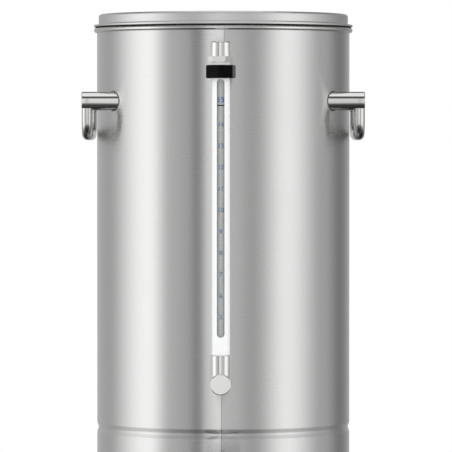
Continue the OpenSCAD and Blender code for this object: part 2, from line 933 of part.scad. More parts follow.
module handle_posts(side) color(polished) difference() {
    inner_x = sqrt(body_r ^ 2 - (post_y + post_d / 2) ^ 2) - past;
    at_posts(side) difference() {
        translate([inner_x, 0, 0]) rotate([0, 90, 0]) turned(post_d, post_x - inner_x, post_edge);
        translate([pivot_x - knuckle_room, -knuckle_room, -post_d])
            cube([post_d, 2 * knuckle_room, post_d + knuckle_room]);
        translate([pivot_x, 0, 0]) bar_y(pin_d + 2 * press, -post_d, post_d, 0);
    }
    core(body_r + weld_gap);
}

module handle_bail(side) color(polished) translate([side * pivot_x, 0, post_z]) difference() {
    rotate([180, 0, 90]) bent_bar(rod_d, post_spacing, bail_drop, bail_bend, rod_d / 2);
    bar_y(pin_d + 2 * pin_clear, -(post_y + post_d), post_y + post_d, 0);
}

module handle_pins(side) color(polished) {
    half = post_d / 2 - pin_recess;
    at_posts(side) translate([pivot_x, 0, 0]) bar_y(pin_d, -half, half, 0);
}

module left_handle_posts() {
    handle_posts(-1);
}

module right_handle_posts() {
    handle_posts(1);
}

module left_handle_bail() {
    handle_bail(-1);
}

module right_handle_bail() {
    handle_bail(1);
}

module left_handle_pins() {
    handle_pins(-1);
}

module right_handle_pins() {
    handle_pins(1);
}

// Level gauge

// The stub that carries a gauge fitting, with the threaded spigot that passes through the tank wall
module port_stub(from_y, z) {
    bar_y(stub_pipe_d, from_y, shoulder_y, z);
    bar_y(spigot_d, shoulder_y - past, spigot_end, z);
}

module gauge_top_fitting() color(polished) at_gauge_line() difference() {
    union() {
        at_gauge() translate([0, 0, hex_top]) revolve(rounded_ring([
            [0, 0, 0],
            [fitting_d / 2, 0, 0],
            [fitting_d / 2 - fitting_taper / 2, fitting_h, fitting_edge],
            [0, fitting_h, 0]
        ]));
        port_stub(gauge_y, stub_top_z);
    }
    bar_y(gauge_bore_d, gauge_y, spigot_end + past, stub_top_z);
    at_gauge() translate([0, 0, hex_top - past]) {
        cylinder(d = down_bore_d, h = stub_top_z - hex_top + past);
        cylinder(d = tail_d + 2 * thread_fit, h = tail_len + past);
    }
}

module gauge_top_nipple() color(polished) at_gauge_line() at_gauge() difference() {
    union() {
        translate([0, 0, hex_bottom]) rotate([0, 0, hex_turn]) hex_bar(hex_af, hex_h, hex_edge);
        translate([0, 0, hex_top - past]) cylinder(d = tail_d, h = tail_len + past);
        translate([0, 0, nipple_end]) cylinder(d = nipple_d, h = hex_bottom - nipple_end + past);
    }
    translate([0, 0, nipple_end - past])
        cylinder(d = glass_d + 2 * glass_fit, h = glass_top + seat_gap - nipple_end + past);
    translate([0, 0, nipple_end]) cylinder(d = down_bore_d, h = hex_top + tail_len - nipple_end + past);
}

module gauge_washer() color(white) at_gauge_line() at_gauge() translate([0, 0, nut_top])
    tube(washer_d, nipple_d + 2 * sleeve_fit, washer_t);

module gauge_union_nut() color(black) at_gauge_line() at_gauge() difference() {
    translate([0, 0, nut_bottom]) rotate([0, 0, nut_turn]) hex_bar(nut_af, nut_h, nut_edge);
    translate([0, 0, nut_bottom]) cylinder(d = nipple_d + 2 * thread_fit, h = nut_h + past);
    translate([0, 0, nut_bottom - past]) cylinder(d = sleeve_d + 2 * sleeve_fit, h = nut_seat + past);
}

module gauge_sleeve() color(white) at_gauge_line() at_gauge() difference() {
    translate([0, 0, sleeve_bottom]) tube(sleeve_d, sleeve_d - 2 * sleeve_wall, sleeve_top - sleeve_bottom);
    low = slot_bottom + slot_w / 2;
    high = slot_top - slot_w / 2;
    translate([-slot_w / 2, -sleeve_d, low]) cube([slot_w, sleeve_d, high - low]);
    for (z = [low, high]) bar_y(slot_w, -sleeve_d, 0, z);
}

module gauge_glass() color("#dfeef0") at_gauge_line() at_gauge() translate([0, 0, glass_bottom])
    tube(glass_d, glass_d - 2 * glass_wall, glass_top - glass_bottom);

module gauge_o_rings() color(black) at_gauge_line() at_gauge() {
    lift = ring_d / 2 + seat_gap;
    for (z = [sleeve_top + lift, ring_floor + lift])
        translate([0, 0, z]) rotate_extrude() translate([ring_r, 0]) circle(d = ring_d);
}

module gauge_bottom_fitting() color(polished) at_gauge_line() difference() {
    boss_len = gauge_standoff + boss_front - boss_back;
    union() {
        at_gauge() translate([0, 0, boss_z]) revolve(rounded_ring([
            [0, 0, 0], [socket_d / 2, 0, 0], [socket_d / 2, socket_h, socket_edge], [0, socket_h, 0]
        ]));
        translate([0, gauge_y - boss_front, boss_z]) rotate([-90, 0, 0])
            turned(boss_d, boss_len, boss_edge);
        port_stub(gauge_y, boss_z);
    }
    bar_y(gauge_bore_d, gauge_y, spigot_end + past, boss_z);
    at_gauge() {
        translate([0, 0, boss_z]) cylinder(d = down_bore_d, h = socket_h);
        translate([0, 0, glass_bottom - seat_gap]) cylinder(d = glass_d + 2 * glass_fit, h = socket_h);
        translate([0, 0, ring_floor]) cylinder(d = 2 * ring_r + ring_d + 2 * seat_gap, h = socket_h);
        translate([0, 0, sleeve_bottom]) cylinder(d = sleeve_d + 2 * sleeve_fit, h = socket_h);
    }
}

module gauge_port_gaskets() color(black) at_gauge_line() for (z = port_levels) difference() {
    bar_y(gasket_d, shoulder_y, -(tank_or - gasket_t), z);
    bar_y(spigot_d + 2 * thread_fit, shoulder_y - past, -(tank_r - wall_cut), z);
    core(tank_or + seat_gap);
}

module gauge_port_nuts() color(polished) at_gauge_line() {
    for (z = port_levels)
        translate([0, port_nut_y, z]) rotate([-90, 0, 0])
            hex_nut(port_nut_af, port_nut_h, spigot_d + 2 * press, nut_chamfer);
}

// Tap

module tap_body() color(polished) difference() {
    union() {
        bar_y(shank_d, flange_back - past, shank_end, tap_z);
        translate([0, flange_back - flange_t, tap_z]) rotate([-90, 0, 0])
            turned(flange_d, flange_t, flange_edge);
        bar_y(barrel_d, tap_y, flange_back - past, tap_z);
        at_tap() translate([0, 0, tap_z - housing_low])
            turned(housing_d, housing_low + housing_high, housing_edge);
        at_tap() translate([0, 0, tap_z - spout_drop])
            cylinder(d1 = spout_d, d2 = spout_d + spout_taper, h = spout_drop - housing_low + past);
    }
    bar_y(tap_bore_d, tap_y, shank_end + past, tap_z);
    at_tap() translate([0, 0, plug_low])
        cylinder(d = plug_d + 2 * run_clear, h = housing_top - plug_low + past);
    at_tap() translate([0, 0, tap_z - spout_drop - past])
        cylinder(d = tap_bore_d, h = spout_drop + plug_low - tap_z + 2 * past);
}

// A square bar on the Z axis, d across its corners
module square_bar(d, h) {
    rotate([0, 0, 45]) cylinder(d = d, h = h, $fn = 4);
}

// The plug has an angled port: in at its side, out through its underside. It is shut at rest.
module tap_plug() color("#c8a860") at_tap() difference() {
    union() {
        translate([0, 0, plug_low + plug_end_gap])
            cylinder(d = plug_d, h = housing_top - plug_low - 2 * plug_end_gap);
        translate([0, 0, housing_top - past]) cylinder(d = stem_d, h = lever_z - housing_top + past);
        translate([0, 0, lever_z - past]) square_bar(square_d, square_len + past);
    }
    translate([0, 0, plug_low - past]) cylinder(d = outlet_d, h = tap_z - plug_low + past);
    translate([-outlet_d / 4, 0, tap_z]) rotate([0, 90, 0]) cylinder(d = port_d, h = plug_d);
    translate([0, 0, lever_z + square_len - lever_screw_hole])
        cylinder(d = lever_screw_d + 2 * press, h = lever_screw_hole + past);
}

// Cutters for the grooves round a grip of diameter d
module flutes(count, d, h) {
    at_ring(count, d / 2 + flute_d / 4, 0) translate([0, 0, -past]) cylinder(d = flute_d, h = h + 2 * past);
}

module tap_gland_nut() color(polished) at_tap() translate([0, 0, housing_top - gland_lap]) difference() {
    turned(gland_d, gland_h, gland_edge);
    translate([0, 0, -past]) cylinder(d = housing_d + 2 * thread_fit, h = gland_lap + past);
    cylinder(d = stem_d + 2 * run_clear, h = gland_h + past);
    flutes(gland_flutes, gland_d, gland_h);
}

module tap_lever() color(black) at_tap() translate([0, 0, lever_z]) difference() {
    union() {
        turned(hub_d, lever_t, lever_edge);
        linear_extrude(lever_t - lever_edge) polygon(rounded_ring([
            [lever_len / 2, -lever_end_w / 2, lever_corner],
            [lever_len / 2, lever_end_w / 2, lever_corner],
            [0, lever_waist / 2, 0],
            [-lever_len / 2, lever_end_w / 2, lever_corner],
            [-lever_len / 2, -lever_end_w / 2, lever_corner],
            [0, -lever_waist / 2, 0]
        ]));
    }
    translate([0, 0, -past]) square_bar(square_d + 2 * thread_fit, square_len + past);
    cylinder(d = lever_screw_d + 2 * press, h = lever_t + past);
    translate([0, 0, lever_t - lever_screw_sink])
        cylinder(d = head_ratio * lever_screw_d + 2 * thread_fit, h = lever_screw_sink + past);
}

module tap_lever_screw() color(polished) at_tap() translate([0, 0, lever_z + lever_t - lever_screw_sink])
    rotate([180, 0, 0]) pan_screw(lever_screw_d, lever_screw_len);

module tap_gasket() color(black) difference() {
    bar_y(flange_d - 2 * flange_edge, flange_back, -(body_r - tap_gasket_t), tap_z);
    bar_y(shank_d + 2 * thread_fit, flange_back - past, -(shell_ir - wall_cut), tap_z);
    core(body_r + seat_gap);
}

module tap_locknut() color(polished) translate([0, locknut_y, tap_z]) rotate([-90, 0, 0])
    hex_nut(locknut_af, locknut_h, shank_d + 2 * press, nut_chamfer);

// The run of the drain pipe from the tank floor down, round the bend and forward
module drain_run(d) {
    translate([0, -drain_y, tap_z + drain_bend]) cylinder(d = d, h = floor_z - tap_z - drain_bend);
    translate([0, drain_bend_y, tap_z + drain_bend]) rotate([0, 90, 0]) rotate_extrude(angle = 90)
        translate([drain_bend, 0]) circle(d = d);
    bar_y(d, shank_end, drain_bend_y, tap_z);
}

module drain_elbow() color(steel) difference() {
    union() {
        drain_run(drain_d);
        bar_y(shank_d + 2 * coupling_wall, coupling_front, coupling_back, tap_z);
        translate([0, -drain_y, floor_under - collar_t])
            cylinder(d = drain_d + 2 * collar_over, h = collar_t);
    }
    drain_run(drain_d - 2 * drain_wall);
    bar_y(shank_d + 2 * thread_fit, coupling_front - past, shank_end, tap_z);
}

// Heating

module cold_end_places() {
    for (side = [-1, 1])
        rotate([0, 0, 90 + side * element_gap / 2]) translate([element_r, 0, 0]) children();
}

module heating_element() color("#8a8480") {
    translate([0, 0, element_z]) rotate([0, 0, 90 + element_gap / 2])
        rotate_extrude(angle = 360 - element_gap) translate([element_r, 0]) circle(d = element_d);
    cold_end_places() translate([0, 0, element_z - cold_end]) {
        cylinder(d = element_d + 2 * seat_gap, h = cold_end + element_d / 4);
        translate([0, 0, -terminal_len]) cylinder(d = terminal_d, h = terminal_len + past);
    }
}

module heater_clamp_plate() color(steel) difference() {
    translate([0, 0, clamp_under]) cylinder(r = clamp_r, h = clamp_t);
    translate([0, 0, clamp_under - past]) {
        cylinder(d = stud_d + 2 * sleeve_fit, h = clamp_t + 2 * past);
        cold_end_places() cylinder(d = element_d + 2 * cold_room, h = clamp_t + 2 * past);
        cutout_screw_places() cylinder(d = cutout_screw_d + 2 * press, h = clamp_t + 2 * past);
    }
}

module heater_clamp_nut() color(polished) translate([0, 0, clamp_under - clamp_nut_h])
    hex_nut(clamp_nut_af, clamp_nut_h, stud_d + 2 * press, nut_chamfer);

module cutout_screw_places() {
    for (side = [-1, 1]) translate([side * cutout_pitch / 2, cutout_y, 0]) children();
}

module safety_cutout() color(black) difference() {
    ear_x = cutout_pitch / 2 + cutout_ear_r;
    union() {
        translate([0, cutout_y, clamp_under - cutout_ear_t])
            linear_extrude(cutout_ear_t) polygon(rounded_ring([
                [-ear_x, -cutout_ear_r, cutout_ear_r / 2],
                [ear_x, -cutout_ear_r, cutout_ear_r / 2],
                [ear_x, cutout_ear_r, cutout_ear_r / 2],
                [-ear_x, cutout_ear_r, cutout_ear_r / 2]
            ]));
        translate([0, cutout_y, clamp_under - cutout_h])
            cylinder(d = cutout_d, h = cutout_h - cutout_ear_t / 2);
        for (side = [-1, 1])
            translate([side * cutout_d / 4, cutout_y, clamp_under - cutout_h - terminal_len])
                tab(terminal_len + past);
    }
    cutout_screw_places() translate([0, 0, clamp_under - cutout_ear_t - past])
        cylinder(d = cutout_screw_d + 2 * press, h = cutout_ear_t + 2 * past);
}

module cutout_screws() color(polished) {
    cutout_screw_places() translate([0, 0, clamp_under - cutout_ear_t])
        pan_screw(cutout_screw_d, cutout_ear_t + clamp_t + cutout_screw_spare);
}

// A flat connector tab that stands up on z = 0
module tab(h) {
    translate([-tab_t / 2, -blade_w / 2, 0]) cube([tab_t, blade_w, h]);
}

// A round wire along a list of points, with a ball at each bend
module wire(points, d) {
    for (i = [0:len(points) - 2]) {
        run = points[i + 1] - points[i];
        translate(points[i]) rotate([0, acos(run.z / norm(run)), atan2(run.y, run.x)])
            cylinder(d = d, h = norm(run));
    }
    // Each ball is turned so that its seam lies outside the bend
    for (i = [1:len(points) - 2]) {
        outside = unit(points[i] - points[i - 1]) - unit(points[i + 1] - points[i]);
        translate(points[i]) rotate([0, 0, atan2(outside.y, outside.x)]) sphere(d = d * bend_ball);
    }
}

module thermostat_sensor() color("#b87848") {
    translate([-bulb_len / 2, bulb_y, bulb_z]) rotate([0, 90, 0]) turned(bulb_d, bulb_len, bulb_d / 4);
    top = [sin(knob_angle), -cos(knob_angle)] * -(thermostat_y + thermostat_depth / 2);
    wire([
        [bulb_len / 2 - past, bulb_y, bulb_z],
        [bulb_len / 2 + capillary_lead, bulb_y, bulb_z],
        [bulb_len / 2 + capillary_lead, bulb_y, capillary_z],
        [top.x, top.y, capillary_z],
        [top.x, top.y, control_z + thermostat_w / 2]
    ], capillary_d);
}

module sensor_clip() color(steel) {
    side = bulb_d / 2 + clip_t + clip_gap;
    low = bulb_d + clip_t + clip_gap + seat_gap;
    translate([-clip_w / 2, bulb_y, floor_under]) rotate([90, 0, 90]) linear_extrude(clip_w) polygon(sheet([
        [-side - clip_ear, -clip_t, 0],
        [-side, -clip_t, 0],
        [-side, -low, clip_bend],
        [side, -low, clip_bend],
        [side, -clip_t, 0],
        [side + clip_ear, -clip_t, 0]
    ], clip_t));
}

// Controls

// A disc against the outside of the shell: flat in front, hollow behind to fit the shell
module shell_disc(d, front_y, z, edge) {
    deep = d / 4 - front_y - shell_ir;
    difference() {
        translate([0, front_y, z]) rotate([-90, 0, 0])
            revolve(rounded_ring([[0, 0, 0], [d / 2, 0, edge], [d / 2, deep, 0], [0, deep, 0]]));
        core(body_r + seat_gap);
    }
}

module thermostat_body() color("#d8d0c0") at_knob() difference() {
    union() {
        block_y(thermostat_w, thermostat_w, thermostat_y, thermostat_y + thermostat_depth, control_z,
            block_corner);
        bar_y(bush_d, bush_end, thermostat_y + past, control_z);
        for (side = [-1, 1])
            translate([side * thermostat_w / 4, thermostat_y + thermostat_depth - past, control_z])
                rotate([-90, 0, 0]) tab(terminal_len + past);
    }
    bar_y(spindle_d + 2 * run_clear, bush_end - past, thermostat_y + spindle_in + seat_gap, control_z);
}

// A block with rounded long edges along Y, from y0 back to y1, with its middle at height z
module block_y(w, h, y0, y1, z, corner) {
    translate([0, y1, z]) rotate([90, 0, 0]) linear_extrude(y1 - y0) polygon(rounded_ring([
        [-w / 2, -h / 2, corner], [w / 2, -h / 2, corner], [w / 2, h / 2, corner], [-w / 2, h / 2, corner]
    ]));
}

module thermostat_spindle() color(polished) at_knob()
    bar_y(spindle_d, spindle_end, thermostat_y + spindle_in, control_z);

module thermostat_nut() color(polished) at_knob()
    translate([0, dial_front - bush_nut_h, control_z]) rotate([-90, 0, 0])
        hex_nut(bush_nut_af, bush_nut_h, bush_d + 2 * press, small_chamfer);

module dial_plate() color(steel) at_knob() difference() {
    shell_disc(dial_d, dial_front, control_z, dial_edge);
    bar_y(bush_d + 2 * thread_fit, dial_front - past, -shell_ir, control_z);
}

module at_knob_front() {
    at_knob() translate([0, knob_front, control_z]) rotate([-90, 0, 0]) children();
}

module thermostat_knob() color(black) at_knob_front() difference() {
    union() {
        difference() {
            revolve(rounded_ring([
                [0, 0, 0], [grip_d / 2, 0, knob_edge], [grip_d / 2, knob_h - past, 0], [0, knob_h - past, 0]
            ]));
            flutes(grip_ribs, grip_d, knob_h);
        }
        translate([0, 0, knob_h - knob_skirt]) turned(knob_d, knob_skirt, skirt_edge);
        translate([-pointer_w / 2, knob_edge - grip_d / 2, -pointer_h])
            cube([pointer_w, pointer_len, pointer_h + past]);
    }
    translate([0, 0, knob_web]) difference() {
        cylinder(d = grip_d - 2 * knob_wall, h = knob_h);
        cylinder(d = knob_hub_d, h = knob_hub_end - knob_web);
    }
    translate([0, 0, knob_face]) cylinder(d = spindle_d + 2 * press, h = knob_h);
}

module power_switch_housing() color(black) at_switch() difference() {
    union() {
        shell_disc(2 * bezel_r, bezel_front, control_z, bezel_edge);
        bar_y(switch_d, bezel_front + bezel_edge, -(shell_ir - switch_body), control_z);
        for (side = [-1, 1])
            translate([side * switch_d / 4, -(shell_ir - switch_body) - past, control_z])
                rotate([-90, 0, 0]) tab(terminal_len + past);
    }
    bar_y(rocker_room_d, bezel_front - past, bezel_front + rocker_room, control_z);
    translate([-rocker_pin_len / 2 - run_clear, rocker_axis, control_z]) rotate([0, 90, 0])
        cylinder(d = rocker_pin_d + 2 * run_clear, h = rocker_pin_len + 2 * run_clear);
}

// The rocker is shaped inside a ball round its pivot, so that it clears its frame as it tips
module power_switch_rocker() color("#a01818") at_switch() translate([0, rocker_axis, control_z])
    rotate([rocker_throw / 2, 0, 0]) {
        fall = rocker_ball_r * tan(rocker_throw / 2);
        intersection() {
            sphere(r = rocker_ball_r);
            translate([-rocker_ball_r, 0, 0]) rotate([90, 0, 90])
                linear_extrude(2 * rocker_ball_r) polygon([
                    [-rocker_rise, 0],
                    [fall - rocker_rise, rocker_ball_r],
                    [rocker_rise, rocker_ball_r],
                    [rocker_rise, -rocker_ball_r],
                    [fall - rocker_rise, -rocker_ball_r]
                ]);
        }
        translate([-rocker_pin_len / 2, 0, 0]) rotate([0, 90, 0])
            cylinder(d = rocker_pin_d, h = rocker_pin_len);
    }

module pilot_lamp_bezel() color(polished) at_switch() difference() {
    union() {
        shell_disc(lamp_bezel_d, bezel_front, lamp_z, bezel_edge);
        bar_y(lamp_d, bezel_front + bezel_edge, -(shell_ir - lamp_body), lamp_z);
    }
    bar_y(lens_d + 2 * press, bezel_front - past, -(shell_ir - lamp_body - past), lamp_z);
}

module pilot_lamp_lens() color("#e07020") at_switch()
    translate([0, bezel_front - lens_proud, lamp_z]) rotate([-90, 0, 0])
        revolve(rounded_ring([
            [0, 0, 0], [lens_d / 2, 0, lens_d / 3], [lens_d / 2, lens_len, 0], [0, lens_len, 0]
        ]));

// Mains inlet

function inlet_outline(w, h) = [
    [-w / 2, -h / 2],
    [w / 2 - inlet_cut, -h / 2],
    [w / 2, inlet_cut - h / 2],
    [w / 2, h / 2 - inlet_cut],
    [w / 2 - inlet_cut, h / 2],
    [-w / 2, h / 2]
];

module blade_places() {
    for (i = [-1:1])
        translate([i == 0 ? contact_offset : -contact_offset, 0, inlet_z + i * contact_pitch]) children();
}

module blade(extra) {
    translate([-blade_w / 2 - extra, inlet_face + inlet_depth - blade_len, -blade_t / 2 - extra])
        cube([blade_w + 2 * extra, blade_len + inlet_floor + blade_tab, blade_t + 2 * extra]);
}

module mains_inlet() color(black) at_rear() difference() {
    back = inlet_face + inlet_depth + inlet_floor;
    union() {
        difference() {
            block_y(inlet_flange_w, inlet_flange_h, inlet_face, -shell_ir, inlet_z, inlet_flange_corner);
            core(body_r + seat_gap);
        }
        block_y(inlet_body_w, inlet_body_h, inlet_face + bezel_edge, back, inlet_z, inlet_wall);
    }
    translate([0, inlet_face + inlet_depth, inlet_z]) rotate([90, 0, 0])
        linear_extrude(inlet_depth + past) polygon(inlet_outline(inlet_w, inlet_h));
    blade_places() blade(press);
    inlet_screw_places() bar_y(inlet_screw_d + 2 * press, inlet_face - past, -shell_ir, 0);
}

module inlet_screw_places() {
    for (side = [-1, 1]) translate([0, 0, inlet_z + side * inlet_screw_span / 2]) children();
}

module mains_inlet_pins() color("#c8b070") at_rear() {
    blade_places() blade(0);
}

module mains_inlet_screws() color(polished) at_rear() {
    inlet_screw_places() translate([0, inlet_face, 0]) rotate([-90, 0, 0])
        pan_screw(inlet_screw_d, inlet_screw_len);
}

// Pieces on the base plate

module block_screw_places() {
    for (side = [-1, 1]) translate([side * block_pitch, block_y, 0]) children();
}

module terminal_block() color(white) difference() {
    translate([0, block_y, skirt_z]) linear_extrude(block_h) polygon(rounded_ring([
        [-2 * block_pitch - block_margin, -block_depth / 2, block_corner],
        [2 * block_pitch + block_margin, -block_depth / 2, block_corner],
        [2 * block_pitch + block_margin, block_depth / 2, block_corner],
        [-2 * block_pitch - block_margin, block_depth / 2, block_corner]
    ]));
    for (i = [-2, 0, 2]) {
        translate([i * block_pitch, 0, 0])
            bar_y(way_d, block_y - block_depth, block_y + block_depth, way_z);
        for (side = [-1, 1])
            translate([i * block_pitch, block_y + side * block_depth / 4, way_z])
                cylinder(d = way_d, h = block_h);
    }
    block_screw_places() translate([0, 0, skirt_z - past])
        cylinder(d = screw_d + 2 * press, h = block_screw_in + past);
}

module terminal_block_screws() color(polished) {
    block_screw_places() translate([0, 0, foot_h])
        pan_screw(screw_d, plate_t + block_screw_in);
}

module at_earth() {
    translate([earth_x, earth_y, skirt_z]) children();
}

module earth_stud() color("#c8a860") at_earth() {
    cylinder(d = 2 * earth_d, h = earth_foot);
    cylinder(d = earth_d, h = earth_len);
}

module earth_nuts() color("#c8a860") at_earth() {
    for (i = [0, 1]) translate([0, 0, earth_foot + i * (earth_nut_h + seat_gap)])
        hex_nut(nut_ratio * earth_d, earth_nut_h, earth_d + 2 * press, small_chamfer);
}

// Wiring

// Ends of the wires, each some way inward from the tab or terminal that it joins
function turned_by(a, x, y, z) = [x * cos(a) - y * sin(a), x * sin(a) + y * cos(a), z];
function inlet_point(i, inward) = [
    i == 0 ? -contact_offset : contact_offset,
    -(inlet_face + inlet_depth + inlet_floor + blade_tab) - inward,
    inlet_z + i * contact_pitch
];
function way_point(i, y) = [2 * i * block_pitch, y, way_z];
function switch_point(side, inward, z) =
    turned_by(-switch_angle, side * switch_d / 4, switch_body + terminal_len - shell_ir + inward, z);
function thermostat_point(side, inward, z) = turned_by(
    knob_angle, side * thermostat_w / 4, thermostat_y + thermostat_depth + terminal_len + inward, z
);
function lamp_point(side, inward, z) =
    turned_by(-switch_angle, side * lens_d / 4, bezel_front - lens_proud + lens_len + inward, z);
function cutout_point(side, drop) =
    [side * cutout_d / 4, cutout_y, clamp_under - cutout_h - terminal_len - drop];
function heater_point(side, drop) = [
    side * element_r * sin(element_gap / 2),
    element_r * cos(element_gap / 2),
    element_z - cold_end - terminal_len - drop
];

function mains_paths() = [
    for (i = [-1:1])
    let (way = inlet_ways[i + 1])
    [
        inlet_point(i, seat_gap),
        inlet_point(i, wire_lead),
        way_point(way, way_rear + wire_lead),
        way_point(way, way_rear - way_in)
    ]
];

// Live goes through the switch, the thermostat and the cut-out to the heater
function live_paths() = [
    [
        way_point(-1, way_front + way_in),
        way_point(-1, way_front - wire_lead),
        switch_point(-1, wire_lead, way_z),
        switch_point(-1, wire_lead, control_z),
        switch_point(-1, seat_gap, control_z)
    ],
    [
        switch_point(1, seat_gap, control_z),
        switch_point(1, wire_lead, control_z - lead_lift),
        thermostat_point(-1, wire_lead, control_z - lead_lift),
        thermostat_point(-1, seat_gap, control_z)
    ],
    [
        thermostat_point(1, seat_gap, control_z),
        thermostat_point(1, wire_lead, control_z),
        thermostat_point(1, wire_lead, control_z + loop_lift),
        cutout_point(1, 2 * wire_lead),
        cutout_point(1, seat_gap)
    ],
    [
        cutout_point(-1, seat_gap),
        cutout_point(-1, 2 * wire_lead),
        heater_point(-1, wire_lead),
        heater_point(-1, seat_gap)
    ]
];

function return_paths() =
    let (
        turn = [0, way_front - wire_lead],
        stud = [earth_x, earth_y],
        end = stud + unit(turn - stud) * (earth_d / 2 + seat_gap)
    )
    [
        [
            way_point(1, way_front + way_in),
            way_point(1, way_front - wire_lead),
            heater_point(1, 2 * wire_lead),
            heater_point(1, seat_gap)
        ],
        [
            way_point(0, way_front + way_in),
            way_point(0, turn.y),
            [turn.x, turn.y, earth_wire_z],
            [end.x, end.y, earth_wire_z]
        ]
    ];

// The lamp lies across the thermostat, and lights while the thermostat is open
function lead_paths() = [
    [
        lamp_point(1, seat_gap, lamp_z),
        lamp_point(1, wire_lead, lamp_z),
        switch_point(1, -terminal_len / 2, control_z + lead_lift),
        switch_point(1, -terminal_len / 2, lead_end_z)
    ],
    [
        lamp_point(-1, seat_gap, lamp_z),
        lamp_point(-1, 3 * wire_lead, lamp_z),
        lamp_point(-1, 3 * wire_lead, control_z + lead_lift),
        thermostat_point(1, -terminal_len / 2, control_z + lead_lift),
        thermostat_point(1, -terminal_len / 2, lead_end_z)
    ]
];

module wiring() color(black) {
    for (path = concat(mains_paths(), live_paths(), return_paths())) wire(path, wire_d);
    for (path = lead_paths()) wire(path, lead_d);
}

outer_shell();
inner_tank();
insulation_jacket();
base_plate();
base_screws();
foot_ring();
foot_screws();
foot_nuts();
lid();
lid_seal();
lid_handle();
lid_handle_screws();
left_handle_posts();
right_handle_posts();
left_handle_bail();
right_handle_bail();
left_handle_pins();
right_handle_pins();
gauge_top_fitting();
gauge_top_nipple();
gauge_washer();
gauge_union_nut();
gauge_sleeve();
gauge_glass();
gauge_o_rings();
gauge_bottom_fitting();
gauge_port_gaskets();
gauge_port_nuts();
tap_body();
tap_plug();
tap_gland_nut();
tap_lever();
tap_lever_screw();
tap_gasket();
tap_locknut();
drain_elbow();
heating_element();
heater_clamp_plate();
heater_clamp_nut();
thermostat_body();
thermostat_spindle();
thermostat_knob();
thermostat_nut();
dial_plate();
thermostat_sensor();
sensor_clip();
safety_cutout();
cutout_screws();
power_switch_housing();
power_switch_rocker();
pilot_lamp_bezel();
pilot_lamp_lens();
mains_inlet();
mains_inlet_pins();
mains_inlet_screws();
terminal_block();
terminal_block_screws();
earth_stud();
earth_nuts();
wiring();
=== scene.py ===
"""Looks of the hot water urn: finishes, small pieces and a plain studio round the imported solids."""

from __future__ import annotations

import logging
import math
from dataclasses import dataclass
from enum import Enum
from typing import Callable, Sequence

import bpy
from mathutils import Matrix, Vector

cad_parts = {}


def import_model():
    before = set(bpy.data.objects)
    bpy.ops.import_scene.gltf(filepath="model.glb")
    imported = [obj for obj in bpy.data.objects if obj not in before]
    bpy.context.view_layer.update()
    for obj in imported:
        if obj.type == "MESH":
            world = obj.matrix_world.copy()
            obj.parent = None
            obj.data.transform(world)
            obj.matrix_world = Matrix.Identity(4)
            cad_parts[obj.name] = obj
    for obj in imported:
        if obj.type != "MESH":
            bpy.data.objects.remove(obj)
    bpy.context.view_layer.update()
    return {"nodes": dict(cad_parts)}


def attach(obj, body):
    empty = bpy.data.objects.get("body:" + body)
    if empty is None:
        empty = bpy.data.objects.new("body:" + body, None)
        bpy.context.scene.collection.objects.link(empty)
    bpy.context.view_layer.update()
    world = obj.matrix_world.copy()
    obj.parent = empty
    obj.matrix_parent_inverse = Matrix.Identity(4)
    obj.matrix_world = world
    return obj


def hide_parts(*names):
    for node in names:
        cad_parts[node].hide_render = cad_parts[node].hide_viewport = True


LOG = logging.getLogger("urn")
MM = 0.001
NOISE_SPAN = (0.3, 0.7)

Color = tuple[float, float, float]
Node = bpy.types.Node
Piece = bpy.types.Object
Socket = bpy.types.NodeSocket


class Body(Enum):
    """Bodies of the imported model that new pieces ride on."""

    URN = "urn_body"
    LID = "lid_assembly"
    TAP = "tap_valve"
    KNOB = "knob"
    ROCKER = "rocker"


class Grain(Enum):
    """How the fine lines of a brushed or turned surface run, as a scale along X, Y and Z."""

    ROUND = (9.0, 9.0, 1400.0)
    ACROSS = (1100.0, 14.0, 14.0)
    ALONG = (14.0, 1100.0, 14.0)
    LENGTHWISE = (700.0, 700.0, 10.0)
    CAST = (420.0, 420.0, 420.0)


